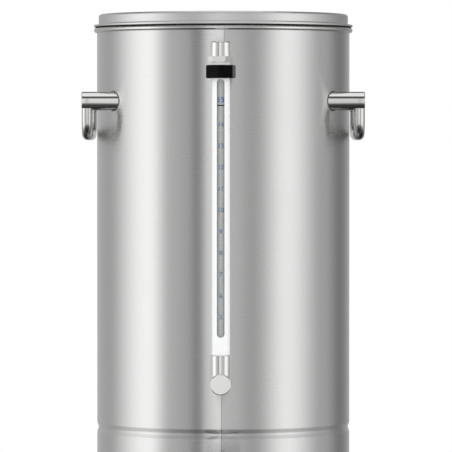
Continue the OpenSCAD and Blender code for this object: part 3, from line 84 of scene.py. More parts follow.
class NodeBench:
    """Adds and joins shader nodes in one tree."""

    def __init__(self, tree: bpy.types.NodeTree, output: str = "OutputMaterial") -> None:
        """Start with a tree that holds its output node alone.

        Args:
            tree: The node tree to fill.
            output: Kind of the output node.
        """
        self.tree = tree
        tree.nodes.clear()
        self.output = self.add(output)

    @staticmethod
    def material(name: str) -> tuple[bpy.types.Material, NodeBench]:
        """Make an empty node material.

        Args:
            name: Name of the material.

        Returns:
            The material and the bench of its tree.
        """
        material = bpy.data.materials.new(name)
        material.use_nodes = True
        return material, NodeBench(material.node_tree)

    def add(self, kind: str, inputs: dict | None = None, **values: object) -> Node:
        """Add a node, set its plain properties and feed its inputs.

        Args:
            kind: Type name of the node, without its first word.
            inputs: Sockets to join or values to set, by the input's name or number.
            values: Properties to set on the node.

        Returns:
            The new node.
        """
        node = self.tree.nodes.new(f"ShaderNode{kind}")
        for key, value in values.items():
            setattr(node, key, value)
        for key, value in (inputs or {}).items():
            self.feed(node.inputs[key], value)
        return node

    def feed(self, into: Socket, value: object) -> None:
        """Feed an input.

        Args:
            into: The input.
            value: A socket to join to it, or a value to set.
        """
        if isinstance(value, Socket):
            self.tree.links.new(value, into)
        else:
            into.default_value = value

    def show(self, shader: Node) -> None:
        """Join a shader to the output."""
        self.feed(self.output.inputs["Surface"], shader.outputs[0])

    def ramp(self, by: Socket, stops: Sequence[tuple[float, Color]]) -> Node:
        """Add a colour ramp.

        Args:
            by: Socket that picks the place on the ramp.
            stops: Places from 0 to 1 with their colours.

        Returns:
            The ramp node.
        """
        node = self.add("ValToRGB", {"Fac": by})
        elements = node.color_ramp.elements
        while len(elements) < len(stops):
            elements.new(0.5)
        for element, (place, color) in zip(elements, stops):
            element.position = place
            element.color = (*color, 1.0)
        return node

    def blend(self, by: Socket, low: Color, high: Color) -> Socket:
        """Blend two colours by a noise, over the span in which it mostly lies."""
        return self.ramp(by, list(zip(NOISE_SPAN, (low, high)))).outputs["Color"]

    def noise(self, place: Socket, scale: float, detail: float = 2.0) -> Socket:
        """Add a noise over coordinates and return its factor."""
        values = {"Vector": place, "Scale": scale, "Detail": detail}
        return self.add("TexNoise", values).outputs["Fac"]

    def math(self, operation: str, *terms: object) -> Socket:
        """Add a math node on sockets or numbers and return its output."""
        return self.add("Math", dict(enumerate(terms)), operation=operation).outputs[0]

    def mix(self, share: object, first: Node, second: Node) -> Node:
        """Mix two shaders by the share of the second one, a socket or a number."""
        return self.add("MixShader", {0: share, 1: first.outputs[0], 2: second.outputs[0]})


@dataclass(frozen=True)
class Finish:
    """A surface finish: a base colour with fine variation in tone, roughness and height."""

    name: str
    color: Color
    roughness: float
    metallic: float
    grain: Grain
    tone: float
    rough_swing: float
    relief: float
    anisotropy: float = 0.0
    specular: float = 0.5
    transmission: float = 0.0
    coat: float = 0.0

    GRAIN_DETAIL = 3.0
    GRAIN_SHARE = 0.6
    SMUDGE_SCALE = 22.0
    SMUDGE_DETAIL = 4.0
    QUARTER_TURN = 0.25
    RELIEF_DEPTH = 0.5 * MM

    def make(self) -> bpy.types.Material:
        """Make the node material of this finish.

        Returns:
            The new material.
        """
        material, bench = NodeBench.material(self.name)
        place = bench.add("TexCoord").outputs["Object"]
        drawn = bench.add("Mapping", {"Vector": place, "Scale": self.grain.value})
        grain = bench.noise(drawn.outputs["Vector"], 1.0, self.GRAIN_DETAIL)
        smudge = bench.noise(place, self.SMUDGE_SCALE, self.SMUDGE_DETAIL)
        values = {
            "Base Color": self.tinted(bench, grain, smudge),
            "Roughness": self.roughened(bench, grain, smudge),
            "Normal": self.embossed(bench, grain),
            "Metallic": self.metallic,
            "Specular IOR Level": self.specular,
            "Transmission Weight": self.transmission,
            "Coat Weight": self.coat,
        }
        if self.anisotropy:
            tangent = bench.add("Tangent", direction_type="RADIAL", axis="Z")
            values["Tangent"] = tangent.outputs["Tangent"]
            values["Anisotropic"] = self.anisotropy
            values["Anisotropic Rotation"] = self.QUARTER_TURN
        bench.show(bench.add("BsdfPrincipled", values))
        return material

    def tinted(self, bench: NodeBench, grain: Socket, smudge: Socket) -> Socket:
        """Vary the base colour a little with the grain and the smudges.

        Args:
            bench: The bench of the material.
            grain: Socket of the grain.
            smudge: Socket of the smudges.

        Returns:
            The colour socket.
        """
        low = tuple(c * (1.0 - self.tone) for c in self.color)
        high = tuple(min(1.0, c * (1.0 + self.tone)) for c in self.color)
        both = bench.math("MULTIPLY_ADD", grain, self.GRAIN_SHARE, smudge)
        return bench.blend(bench.math("MULTIPLY", both, 1.0 / (1.0 + self.GRAIN_SHARE)), low, high)

    def roughened(self, bench: NodeBench, grain: Socket, smudge: Socket) -> Socket:
        """Vary the roughness round its mean with the grain and the smudges.

        Args:
            bench: The bench of the material.
            grain: Socket of the grain.
            smudge: Socket of the smudges.

        Returns:
            The roughness socket.
        """
        values = {
            "Value": bench.math("ADD", grain, smudge),
            "From Min": 2 * NOISE_SPAN[0],
            "From Max": 2 * NOISE_SPAN[1],
            "To Min": max(0.0, self.roughness - self.rough_swing),
            "To Max": min(1.0, self.roughness + self.rough_swing),
        }
        return bench.add("MapRange", values).outputs["Result"]

    def embossed(self, bench: NodeBench, grain: Socket) -> Socket:
        """Raise the grain as a very shallow bump and return the normal."""
        values = {"Strength": self.relief, "Distance": self.RELIEF_DEPTH, "Height": grain}
        return bench.add("Bump", values).outputs["Normal"]


@dataclass(frozen=True)
class GaugeGlass:
    """Tube glass with a glossy skin and a milky body: some light goes through, some scatters."""

    name: str
    tint: Color
    milk: Color
    milkiness: float
    roughness: float
    ior: float = 1.47

    CLOUD_SCALE = 60.0
    CLOUD_TONE = 0.985

    def make(self) -> bpy.types.Material:
        """Make the node material of the glass.

        Returns:
            The new material.
        """
        material, bench = NodeBench.material(self.name)
        cloud = bench.noise(bench.add("TexCoord").outputs["Object"], self.CLOUD_SCALE)
        clear, milky = (
            bench.blend(cloud, tuple(self.CLOUD_TONE * c for c in color), color)
            for color in (self.tint, self.milk)
        )
        through = bench.add("BsdfTransparent", {"Color": clear})
        scatter = bench.add("BsdfDiffuse", {"Color": milky})
        skin = bench.add("BsdfAnisotropic", {"Roughness": self.roughness})
        edge = bench.add("Fresnel", {"IOR": self.ior})
        body = bench.mix(self.milkiness, through, scatter)
        bench.show(bench.mix(edge.outputs["Fac"], body, skin))
        return material


STEEL: Color = (0.74, 0.74, 0.735)
POLISHED: Color = (0.70, 0.70, 0.69)


class FinishBook:
    """All finishes of the urn, made once and handed out by name."""

    FINISHES = (
        Finish("brushed_shell", STEEL, 0.28, 1.0, Grain.ROUND, 0.018, 0.015, 0.007, 1.0),
        Finish("brushed_lid", STEEL, 0.42, 1.0, Grain.ROUND, 0.025, 0.02, 0.012, 0.3),
        Finish("polished_post", POLISHED, 0.10, 1.0, Grain.ACROSS, 0.02, 0.03, 0.01),
        Finish("polished_bail", POLISHED, 0.09, 1.0, Grain.ALONG, 0.02, 0.03, 0.01),
        Finish("turned_fitting", (0.76, 0.76, 0.75), 0.16, 1.0, Grain.ROUND, 0.03, 0.04, 0.02),
        Finish("satin_sheet", (0.62, 0.62, 0.62), 0.34, 1.0, Grain.ACROSS, 0.05, 0.05, 0.03),
        Finish("zinc_plate", (0.60, 0.61, 0.62), 0.30, 1.0, Grain.CAST, 0.07, 0.08, 0.03),
        Finish("tank_steel", (0.72, 0.72, 0.71), 0.24, 1.0, Grain.ROUND, 0.03, 0.04, 0.02),
        Finish("weld_steel", (0.50, 0.50, 0.49), 0.36, 1.0, Grain.CAST, 0.12, 0.10, 0.10),
        # Weld bead at the post feet: a real weld, and its dark tone is painted contact shadow where
        # post meets shell
        Finish("weld_with_painted_shadow", (0.16, 0.155, 0.15), 0.42, 1.0, Grain.CAST, 0.12, 0.10, 0.06),
        Finish("heater_sheath", (0.20, 0.18, 0.16), 0.52, 1.0, Grain.CAST, 0.18, 0.10, 0.05),
        Finish("brass", (0.72, 0.54, 0.26), 0.26, 1.0, Grain.LENGTHWISE, 0.06, 0.06, 0.02),
        Finish("copper_tube", (0.72, 0.42, 0.28), 0.30, 1.0, Grain.CAST, 0.08, 0.08, 0.02),
        Finish("black_nylon", (0.012, 0.012, 0.013), 0.38, 0.0, Grain.CAST, 0.20, 0.08, 0.06),
        Finish(
            "jet_nylon", (0.002, 0.002, 0.002), 0.20, 0.0, Grain.CAST, 0.20, 0.06, 0.03,
            specular=0.05,
        ),
        Finish(
            "black_rubber", (0.014, 0.014, 0.014), 0.72, 0.0, Grain.CAST, 0.20, 0.08, 0.08,
            specular=0.3,
        ),
        Finish("wire_sheath", (0.10, 0.035, 0.018), 0.42, 0.0, Grain.CAST, 0.15, 0.08, 0.04),
        Finish("white_nylon", (0.88, 0.885, 0.89), 0.36, 0.0, Grain.LENGTHWISE, 0.015, 0.05, 0.02),
        Finish("cream_bakelite", (0.70, 0.66, 0.56), 0.46, 0.0, Grain.CAST, 0.05, 0.06, 0.04),
        Finish(
            "red_plastic", (0.46, 0.018, 0.014), 0.26, 0.0, Grain.CAST, 0.06, 0.05, 0.02, coat=0.2
        ),
        Finish(
            "amber_lens", (0.90, 0.34, 0.04), 0.14, 0.0, Grain.CAST, 0.05, 0.04, 0.01,
            transmission=0.6,
        ),
        GaugeGlass("gauge_glass", (0.95, 0.97, 0.975), (0.55, 0.56, 0.565), 0.7, 0.06),
        Finish(
            "mineral_wool", (0.62, 0.55, 0.34), 0.92, 0.0, Grain.CAST, 0.22, 0.05, 0.6,
            specular=0.1,
        ),
        Finish("scale_strip", (0.80, 0.81, 0.82), 0.50, 0.0, Grain.LENGTHWISE, 0.05, 0.05, 0.01),
        Finish("scale_ink", (0.15, 0.23, 0.32), 0.55, 0.0, Grain.CAST, 0.08, 0.05, 0.01),
        Finish("blue_ink", (0.06, 0.14, 0.36), 0.55, 0.0, Grain.CAST, 0.08, 0.05, 0.01),
        Finish("black_ink", (0.012, 0.012, 0.014), 0.50, 0.0, Grain.CAST, 0.20, 0.05, 0.01),
        Finish("white_ink", (0.82, 0.82, 0.80), 0.50, 0.0, Grain.CAST, 0.04, 0.05, 0.01),
    )

    def __init__(self) -> None:
        """Make every material."""
        self.materials = {finish.name: finish.make() for finish in self.FINISHES}

    def dress(self, piece: Piece, finish: str) -> None:
        """Give a piece one finish all over, by its name."""
        piece.data.materials.clear()
        piece.data.materials.append(self.materials[finish])


class Workshop:
    """Modelling moves that the sub-assemblies share."""

    CAP_SHARE = 0.70

    @staticmethod
    def clear() -> None:
        """Leave edit mode and deselect everything."""
        if bpy.context.object is not None and bpy.context.object.mode != "OBJECT":
            bpy.ops.object.mode_set(mode="OBJECT")
        bpy.ops.object.select_all(action="DESELECT")

    @staticmethod
    def take(name: str, size: Sequence[float] = (1.0, 1.0, 1.0)) -> Piece:
        """Name the object just added, stretch it, and put its place into its mesh.

        Args:
            name: Name of the piece.
            size: How far it is stretched along its own axes.

        Returns:
            The piece.
        """
        piece = bpy.context.active_object
        piece.name = name
        piece.data.name = name
        piece.scale = size
        bpy.ops.object.transform_apply(location=True, rotation=True, scale=True)
        return piece

    @staticmethod
    def hold(piece: Piece) -> None:
        """Make a piece the only selected and active one."""
        Workshop.clear()
        piece.select_set(True)
        bpy.context.view_layer.objects.active = piece

    @staticmethod
    def pick_faces(
        piece: Piece, wanted: Callable[[bpy.types.MeshPolygon], bool] = lambda face: True
    ) -> None:
        """Enter edit mode with the wanted faces selected.

        Args:
            piece: The mesh object.
            wanted: Test of a face, which by default takes all.
        """
        Workshop.hold(piece)
        bpy.ops.object.mode_set(mode="EDIT")
        bpy.ops.mesh.select_mode(type="FACE")
        bpy.ops.mesh.select_all(action="DESELECT")
        bpy.ops.object.mode_set(mode="OBJECT")
        for face in piece.data.polygons:
            face.select = wanted(face)
        bpy.ops.object.mode_set(mode="EDIT")

    @staticmethod
    def move_points(piece: Piece, moved: Callable[[Vector], Vector]) -> None:
        """Move every point of a piece by a rule.

        Args:
            piece: The mesh object.
            moved: New place of a point.
        """
        for vertex in piece.data.vertices:
            vertex.co = moved(vertex.co.copy())
        piece.data.update()

    @staticmethod
    def apply(piece: Piece, kind: str, **values: object) -> None:
        """Add a modifier and apply it.

        Args:
            piece: The mesh object.
            kind: Type of the modifier.
            values: Its settings.
        """
        Workshop.hold(piece)
        modifier = piece.modifiers.new(kind.lower(), kind)
        for key, value in values.items():
            setattr(modifier, key, value)
        bpy.ops.object.modifier_apply(modifier=modifier.name)

    @staticmethod
    def smooth(piece: Piece, angle: float = 35.0) -> None:
        """Shade a piece smooth, with edges kept sharp past an angle in degrees."""
        Workshop.hold(piece)
        bpy.ops.object.shade_smooth_by_angle(angle=math.radians(angle))

    @staticmethod
    def fuse(pieces: Sequence[Piece], name: str) -> Piece:
        """Join pieces into one object.

        Args:
            pieces: The objects to join.
            name: Name of the result.

        Returns:
            The joined piece.
        """
        Workshop.hold(pieces[0])
        for piece in pieces:
            piece.select_set(True)
        bpy.ops.object.join()
        pieces[0].name = name
        pieces[0].data.name = name
        return pieces[0]

    @staticmethod
    def cut(piece: Piece, cutter: Piece) -> None:
        """Cut the shape of a cutter out of a piece, and throw the cutter away."""
        Workshop.apply(piece, "BOOLEAN", operation="DIFFERENCE", solver="EXACT", object=cutter)
        bpy.data.objects.remove(cutter)

    @staticmethod
    def copy(piece: Piece, name: str, place: Matrix) -> Piece:
        """Copy a piece with its own mesh and put it in its place.

        Args:
            piece: The piece to copy.
            name: Name of the copy.
            place: Where the copy goes.

        Returns:
            The copy.
        """
        twin = piece.copy()
        twin.data = piece.data.copy()
        twin.name = name
        twin.data.name = name
        bpy.context.scene.collection.objects.link(twin)
        twin.data.transform(place)
        return twin

    @staticmethod
    def words(text: str, height: float, name: str, bold: float = 0.0) -> Piece:
        """Model plain figures as a flat face, upright in the XZ plane round the origin.

        Args:
            text: The figures.
            height: Height of a figure.
            name: Name of the piece.
            bold: How far the strokes are widened on each side.

        Returns:
            The mesh object.
        """
        Workshop.clear()
        bpy.ops.object.text_add(rotation=(math.pi / 2, 0.0, 0.0))
        label = bpy.context.active_object.data
        label.body = text
        label.align_x = "CENTER"
        label.align_y = "CENTER"
        label.size = height / Workshop.CAP_SHARE
        label.resolution_u = 4
        label.offset = bold
        bpy.ops.object.convert(target="MESH")
        return Workshop.take(name)


@dataclass
class SubAssembly:
    """Pieces of the urn that are modelled and dressed together."""

    book: FinishBook

    FINISHES = {}

    def build(self) -> None:
        """Model the pieces that only the scene has: none, unless a sub-assembly says so."""

    def dress(self, nodes: dict[str, Piece]) -> None:
        """Finish the solids of the sub-assembly.

        Args:
            nodes: All solids by the names of their nodes.
        """
        for finish, names in self.FINISHES.items():
            for name in names:
                self.book.dress(nodes[name], finish)
                LOG.info("%s: %s", name, finish)

    def deliver(self, piece: Piece, finish: str, body: Body, slot: str) -> None:
        """Dress a new piece and let it ride on its body.

        Args:
            piece: The finished piece.
            finish: Name of its finish.
            body: The body that it moves with.
            slot: Not used.
        """
        self.book.dress(piece, finish)
        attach(piece, body.value)
        LOG.info("%s: %d faces on %s", piece.name, len(piece.data.polygons), body.value)


@dataclass
class Vessel(SubAssembly):
    """The shell with its weld seam, the tank and the base."""

    radius: float = 137.5 * MM
    bottom: float = 17.0 * MM
    top: float = 596.5 * MM
    bead_z: float = 165.0 * MM
    bead_w: float = 11.0 * MM
    bead_depth: float = 1.8 * MM
    seam_w: float = 34.0 * MM
    seam_steps: int = 32
    seam_peak: float = 0.44 * MM
    seam_top_x: float = 1.2 * MM
    seam_low_x: float = -1.9 * MM
    seam_low_z: float = 190.0 * MM
    line_w: float = 0.9 * MM
    line_steps: int = 6
    line_proud: float = 0.06 * MM
    strip_t: float = 0.3 * MM
    rows: int = 240
    row_shares: tuple[float, ...] = (0.0, 0.15, 0.5, 1.0)

    FINISHES = {
        "brushed_shell": ("outer_shell",),
        "tank_steel": ("inner_tank",),
        "mineral_wool": ("insulation_jacket",),
        "satin_sheet": ("base_plate",),
        "zinc_plate": ("base_screws", "foot_screws", "foot_nuts"),
        "black_rubber": ("foot_ring",),
    }

    def build(self) -> None:
        """Model the peaked seam down the front of the shell and the weld line on its crest."""
        sheet = self.strip("seam_sheet", self.seam_w, self.seam_steps, 0.0)
        self.deliver(sheet, "brushed_shell", Body.URN, "brushed_steel")
        line = self.strip("weld_line", self.line_w, self.line_steps, self.line_proud)
        self.deliver(line, "weld_steel", Body.URN, "brushed_steel")

    def strip(self, name: str, width: float, steps: int, proud: float) -> Piece:
        """Model an upright strip that lies along the seam.

        Args:
            name: Name of the piece.
            width: Width of the strip.
            steps: Faces across the strip.
            proud: Height of its crown above the sheet.

        Returns:
            The mesh object.
        """
        Workshop.clear()
        height = self.top - self.bottom
        bpy.ops.mesh.primitive_grid_add(
            x_subdivisions=steps,
            y_subdivisions=self.rows,
            size=1.0,
            location=(0.0, 0.0, self.bottom + height / 2),
            rotation=(math.pi / 2, 0.0, 0.0),
        )
        strip = Workshop.take(name, (width, height, 1.0))
        Workshop.move_points(strip, lambda point: self.on_shell(point, proud, width))
        Workshop.apply(strip, "SOLIDIFY", thickness=self.strip_t, offset=-1.0)
        Workshop.smooth(strip)
        return strip

    def on_shell(self, point: Vector, proud: float, width: float) -> Vector:
        """Lay a point of a strip on the front of the shell, along the leaning seam.

        Args:
            point: A point of the flat strip.
            proud: Height of the strip's crown above the sheet.
            width: Width of the strip.

        Returns:
            Its place on the shell.
        """
        z = self.level(point.z)
        fall = min(1.0, (self.top - z) / (self.top - self.seam_low_z))
        x = point.x + self.seam_top_x + (self.seam_low_x - self.seam_top_x) * fall
        peak = self.seam_peak * (1.0 - abs(point.x) / (self.seam_w / 2)) ** 2
        crown = proud * (1.0 - (2.0 * point.x / width) ** 2)
        radius = self.radius - self.groove(z) + peak + crown
        return Vector((x, -math.sqrt(radius * radius - x * x), z))

    def level(self, height: float) -> float:
        """Crowd the evenly spaced rows of a strip into the groove, where the sheet bends.

        Args:
            height: Height of a row in the flat strip.

        Returns:
            Its height on the shell.
        """
        share = (height - self.bottom) / (self.top - self.bottom)
        heights = (self.bottom, self.bead_z - self.bead_w, self.bead_z + self.bead_w, self.top)
        place = sum(share > start for start in self.row_shares[1:-1])
        low, high = self.row_shares[place : place + 2]
        part = (share - low) / (high - low)
        return heights[place] + part * (heights[place + 1] - heights[place])

    def groove(self, height: float) -> float:
        """Depth of the bead groove, a V whose three corners are rounded by half its width.

        Args:
            height: Where on the shell.

        Returns:
            How far the sheet is pressed in there.
        """
        half = self.bead_w / 2
        slope = math.atan(self.bead_depth / half)
        edge = half * math.tan(slope / 2)
        off = abs(height - self.bead_z)
        if off <= half * math.sin(slope):
            return self.bead_depth - half / math.cos(slope) + math.sqrt(half**2 - off**2)
        if off <= half - edge * math.cos(slope):
            return (half - off) * math.tan(slope)
        if off < half + edge:
            return half - math.sqrt(half**2 - (half + edge - off) ** 2)
        return 0.0


@dataclass
class Lid(SubAssembly):
    """The lid with its bar handle and a black seal ring, partly a rubber seal and partly painted
    shade of the gap under the lip.
    """

    FINISHES = {
        "brushed_lid": ("lid",),
        # The black seal ring is a rubber seal, and its black line also paints the shade of the gap
        # between lid lip and rim
        "black_rubber": ("lid_seal",),
        "polished_post": ("lid_handle",),
        "zinc_plate": ("lid_handle_screws",),
    }


@dataclass
class DropHandles(SubAssembly):
    """The two drop handles, with the weld beads at the feet of their posts, darkened as painted
    contact shadow.
    """

    shell_r: float = 137.5 * MM
    post_y: float = 70.0 * MM
    post_z: float = 519.0 * MM
    post_d: float = 20.0 * MM
    bead_r: float = 0.7 * MM
    bead_stand: float = 0.3
    bead_smooth: float = 80.0

    FINISHES = {
        "polished_post": ("left_handle_posts", "right_handle_posts"),
        "polished_bail": ("left_handle_bail", "right_handle_bail"),
        "zinc_plate": ("left_handle_pins", "right_handle_pins"),
    }

    def build(self) -> None:
        """Model the weld round one post and copy it, by half turns, to all four."""
        weld = self.weld()
        lift = Matrix.Translation((0.0, 0.0, self.post_z))
        for post, turn in {
            "left_front": Matrix.Rotation(math.pi, 4, "Y"),
            "left_rear": Matrix.Rotation(math.pi, 4, "Z"),
            "right_front": Matrix.Identity(4),
            "right_rear": Matrix.Rotation(math.pi, 4, "X"),
        }.items():
            bead = Workshop.copy(weld, f"{post}_post_weld", lift @ turn)
            # The dark tone of the weld beads is painted contact shadow at the feet of the posts
            self.deliver(bead, "weld_with_painted_shadow", Body.URN, "polished_steel")
        bpy.data.objects.remove(weld)

    def weld(self) -> Piece:
        """Model the weld bead where the right front post meets the shell.

        Returns:
            The mesh object, at the level of the table.
        """
        Workshop.clear()
        bpy.ops.mesh.primitive_torus_add(
            major_segments=72,
            minor_segments=12,
            major_radius=self.post_d / 2 + self.bead_r * self.bead_stand,
            minor_radius=self.bead_r,
            location=(0.0, -self.post_y, 0.0),
            rotation=(0.0, math.pi / 2, 0.0),
        )
        bead = Workshop.take("post_weld")

        def saddle(point: Vector) -> Vector:
            """Set a point of the ring on the curve of the shell."""
            on_shell = math.sqrt(self.shell_r**2 - point.y**2)
            return Vector((on_shell + point.x, point.y, point.z))

        Workshop.move_points(bead, saddle)
        Workshop.smooth(bead, self.bead_smooth)
        return bead


@dataclass
class LevelGauge(SubAssembly):
    """The level gauge with its scale strip, plain litre figures and top line."""

    y: float = -159.5 * MM
    glass_r: float = 6.0 * MM
    strip_r: float = 6.3 * MM
    strip_t: float = 0.15 * MM
    strip_back: float = 0.5 * MM
    low: float = 262.0 * MM
    high: float = 543.0 * MM
    first: int = 5
    last: int = 14
    full: int = 15
    first_z: float = 290.6 * MM
    litre: float = 22.515 * MM
    figure_h: float = 4.8 * MM
    full_figure_h: float = 5.6 * MM
    full_lift: float = 3.4 * MM
    bold: float = 0.16 * MM
    ink_t: float = 0.06 * MM
    ink_gap: float = 0.04 * MM
    line_w: float = 7.6 * MM
    line_h: float = 1.3 * MM
    line_drop: float = 2.3 * MM
    turn: float = math.radians(-0.9)

    FINISHES = {
        "turned_fitting": ("gauge_top_fitting", "gauge_top_nipple", "gauge_bottom_fitting"),
        "white_nylon": ("gauge_washer", "gauge_sleeve"),
        "jet_nylon": ("gauge_union_nut",),
        "gauge_glass": ("gauge_glass",),
        "black_rubber": ("gauge_o_rings", "gauge_port_gaskets"),
        "zinc_plate": ("gauge_port_nuts",),
    }

    def build(self) -> None:
        """Model the strip behind the glass, the figures on it and the top line."""
        self.strip()
        self.figures()
        self.full_figure()
        self.top_line()

    def strip(self) -> None:
        """Model the thin strip that backs the glass tube."""
        Workshop.clear()
        bpy.ops.mesh.primitive_cylinder_add(
            vertices=64,
            radius=self.strip_r,
            depth=self.high - self.low,
            end_fill_type="NOTHING",
            location=(0.0, self.y, (self.high + self.low) / 2),
        )
        strip = Workshop.take("gauge_scale_strip")
        Workshop.pick_faces(strip)
        bpy.ops.mesh.bisect(
            plane_co=(0.0, self.y + self.strip_back, 0.0),
            plane_no=(0.0, 1.0, 0.0),
            clear_inner=True,
        )
        bpy.ops.object.mode_set(mode="OBJECT")
        Workshop.apply(strip, "SOLIDIFY", thickness=self.strip_t, offset=0.0)
        Workshop.smooth(strip)
        self.place(strip, "scale_strip", "white_plastic")

    def place(self, piece: Piece, finish: str, slot: str) -> None:
        """Turn a piece round the body to where the gauge stands, and deliver it.

        Args:
            piece: The piece, modelled at the very front.
            finish: Name of its finish.
            slot: Material slot of the record.
        """
        spin = Matrix.Rotation(self.turn, 4, "Z")
        Workshop.move_points(piece, lambda point: spin @ point)
        self.deliver(piece, finish, Body.URN, slot)

    def on_glass(self, point: Vector) -> Vector:
        """Lay a point that is near the XZ plane on the front of the glass."""
        radius = self.glass_r + self.ink_gap - point.y
        return Vector((point.x, self.y - math.sqrt(max(radius**2 - point.x**2, 0.0)), point.z))

    def height_of(self, litre: int) -> float:
        """Level at which the urn holds so many litres."""
        return self.first_z + (litre - self.first) * self.litre

    def figure(self, litre: int, size: float, height: float) -> Piece:
        """Model one figure on the front of the glass.

        Args:
            litre: The number that it shows.
            size: Height of the figure.
            height: Level of its middle.

        Returns:
            The mesh object.
        """
        label = Workshop.words(str(litre), size, f"litre_{litre}", self.bold)
        Workshop.pick_faces(label)
        bpy.ops.mesh.quads_convert_to_tris()
        bpy.ops.mesh.subdivide(number_cuts=3)
        bpy.ops.object.mode_set(mode="OBJECT")
        Workshop.apply(label, "SOLIDIFY", thickness=self.ink_t, offset=0.0)
        lift = Vector((0.0, 0.0, height))
        Workshop.move_points(label, lambda point: self.on_glass(point + lift))
        return label

    def figures(self) -> None:
        """Model the litre figures, one above the other."""
        litres = range(self.first, self.last + 1)
        labels = [self.figure(litre, self.figure_h, self.height_of(litre)) for litre in litres]
        column = Workshop.fuse(labels, "gauge_litre_figures")
        self.place(column, "scale_ink", "black_plastic")

    def full_figure(self) -> None:
        """Model the figure that stands on the top line."""
        height = self.height_of(self.full) + self.full_lift
        label = self.figure(self.full, self.full_figure_h, height)
        label.name = "gauge_full_figure"
        self.place(label, "blue_ink", "black_plastic")

    def top_line(self) -> None:
        """Model the line that marks the fullest level."""
        Workshop.clear()
        bpy.ops.mesh.primitive_grid_add(
            x_subdivisions=16,
            y_subdivisions=2,
            size=1.0,
            location=(0.0, 0.0, self.height_of(self.full) - self.line_drop),
            rotation=(math.pi / 2, 0.0, 0.0),
        )
        line = Workshop.take("gauge_top_line", (self.line_w, self.line_h, 1.0))
        Workshop.move_points(line, self.on_glass)
        Workshop.apply(line, "SOLIDIFY", thickness=self.ink_t, offset=1.0)
        Workshop.smooth(line)
        self.place(line, "black_ink", "black_plastic")


@dataclass
class Tap(SubAssembly):
    """The plug tap with its lever and the drain behind it."""

    FINISHES = {
        "turned_fitting": ("tap_body", "tap_gland_nut"),
        "brass": ("tap_plug",),
        "black_nylon": ("tap_lever",),
        "zinc_plate": ("tap_lever_screw", "tap_locknut"),
        "black_rubber": ("tap_gasket",),
        "tank_steel": ("drain_elbow",),
    }


@dataclass
class HeatingBay(SubAssembly):
    """Heater, sensor, cut-out, terminals and earth inside the base."""

    FINISHES = {
        "heater_sheath": ("heating_element",),
        "zinc_plate": (
            "heater_clamp_plate", "heater_clamp_nut", "thermostat_nut", "sensor_clip",
            "cutout_screws", "terminal_block_screws",
        ),
        "cream_bakelite": ("thermostat_body",),
        "copper_tube": ("thermostat_sensor",),
        "black_nylon": ("safety_cutout",),
        "white_nylon": ("terminal_block",),
        "brass": ("earth_stud", "earth_nuts"),
        "wire_sheath": ("wiring",),
    }


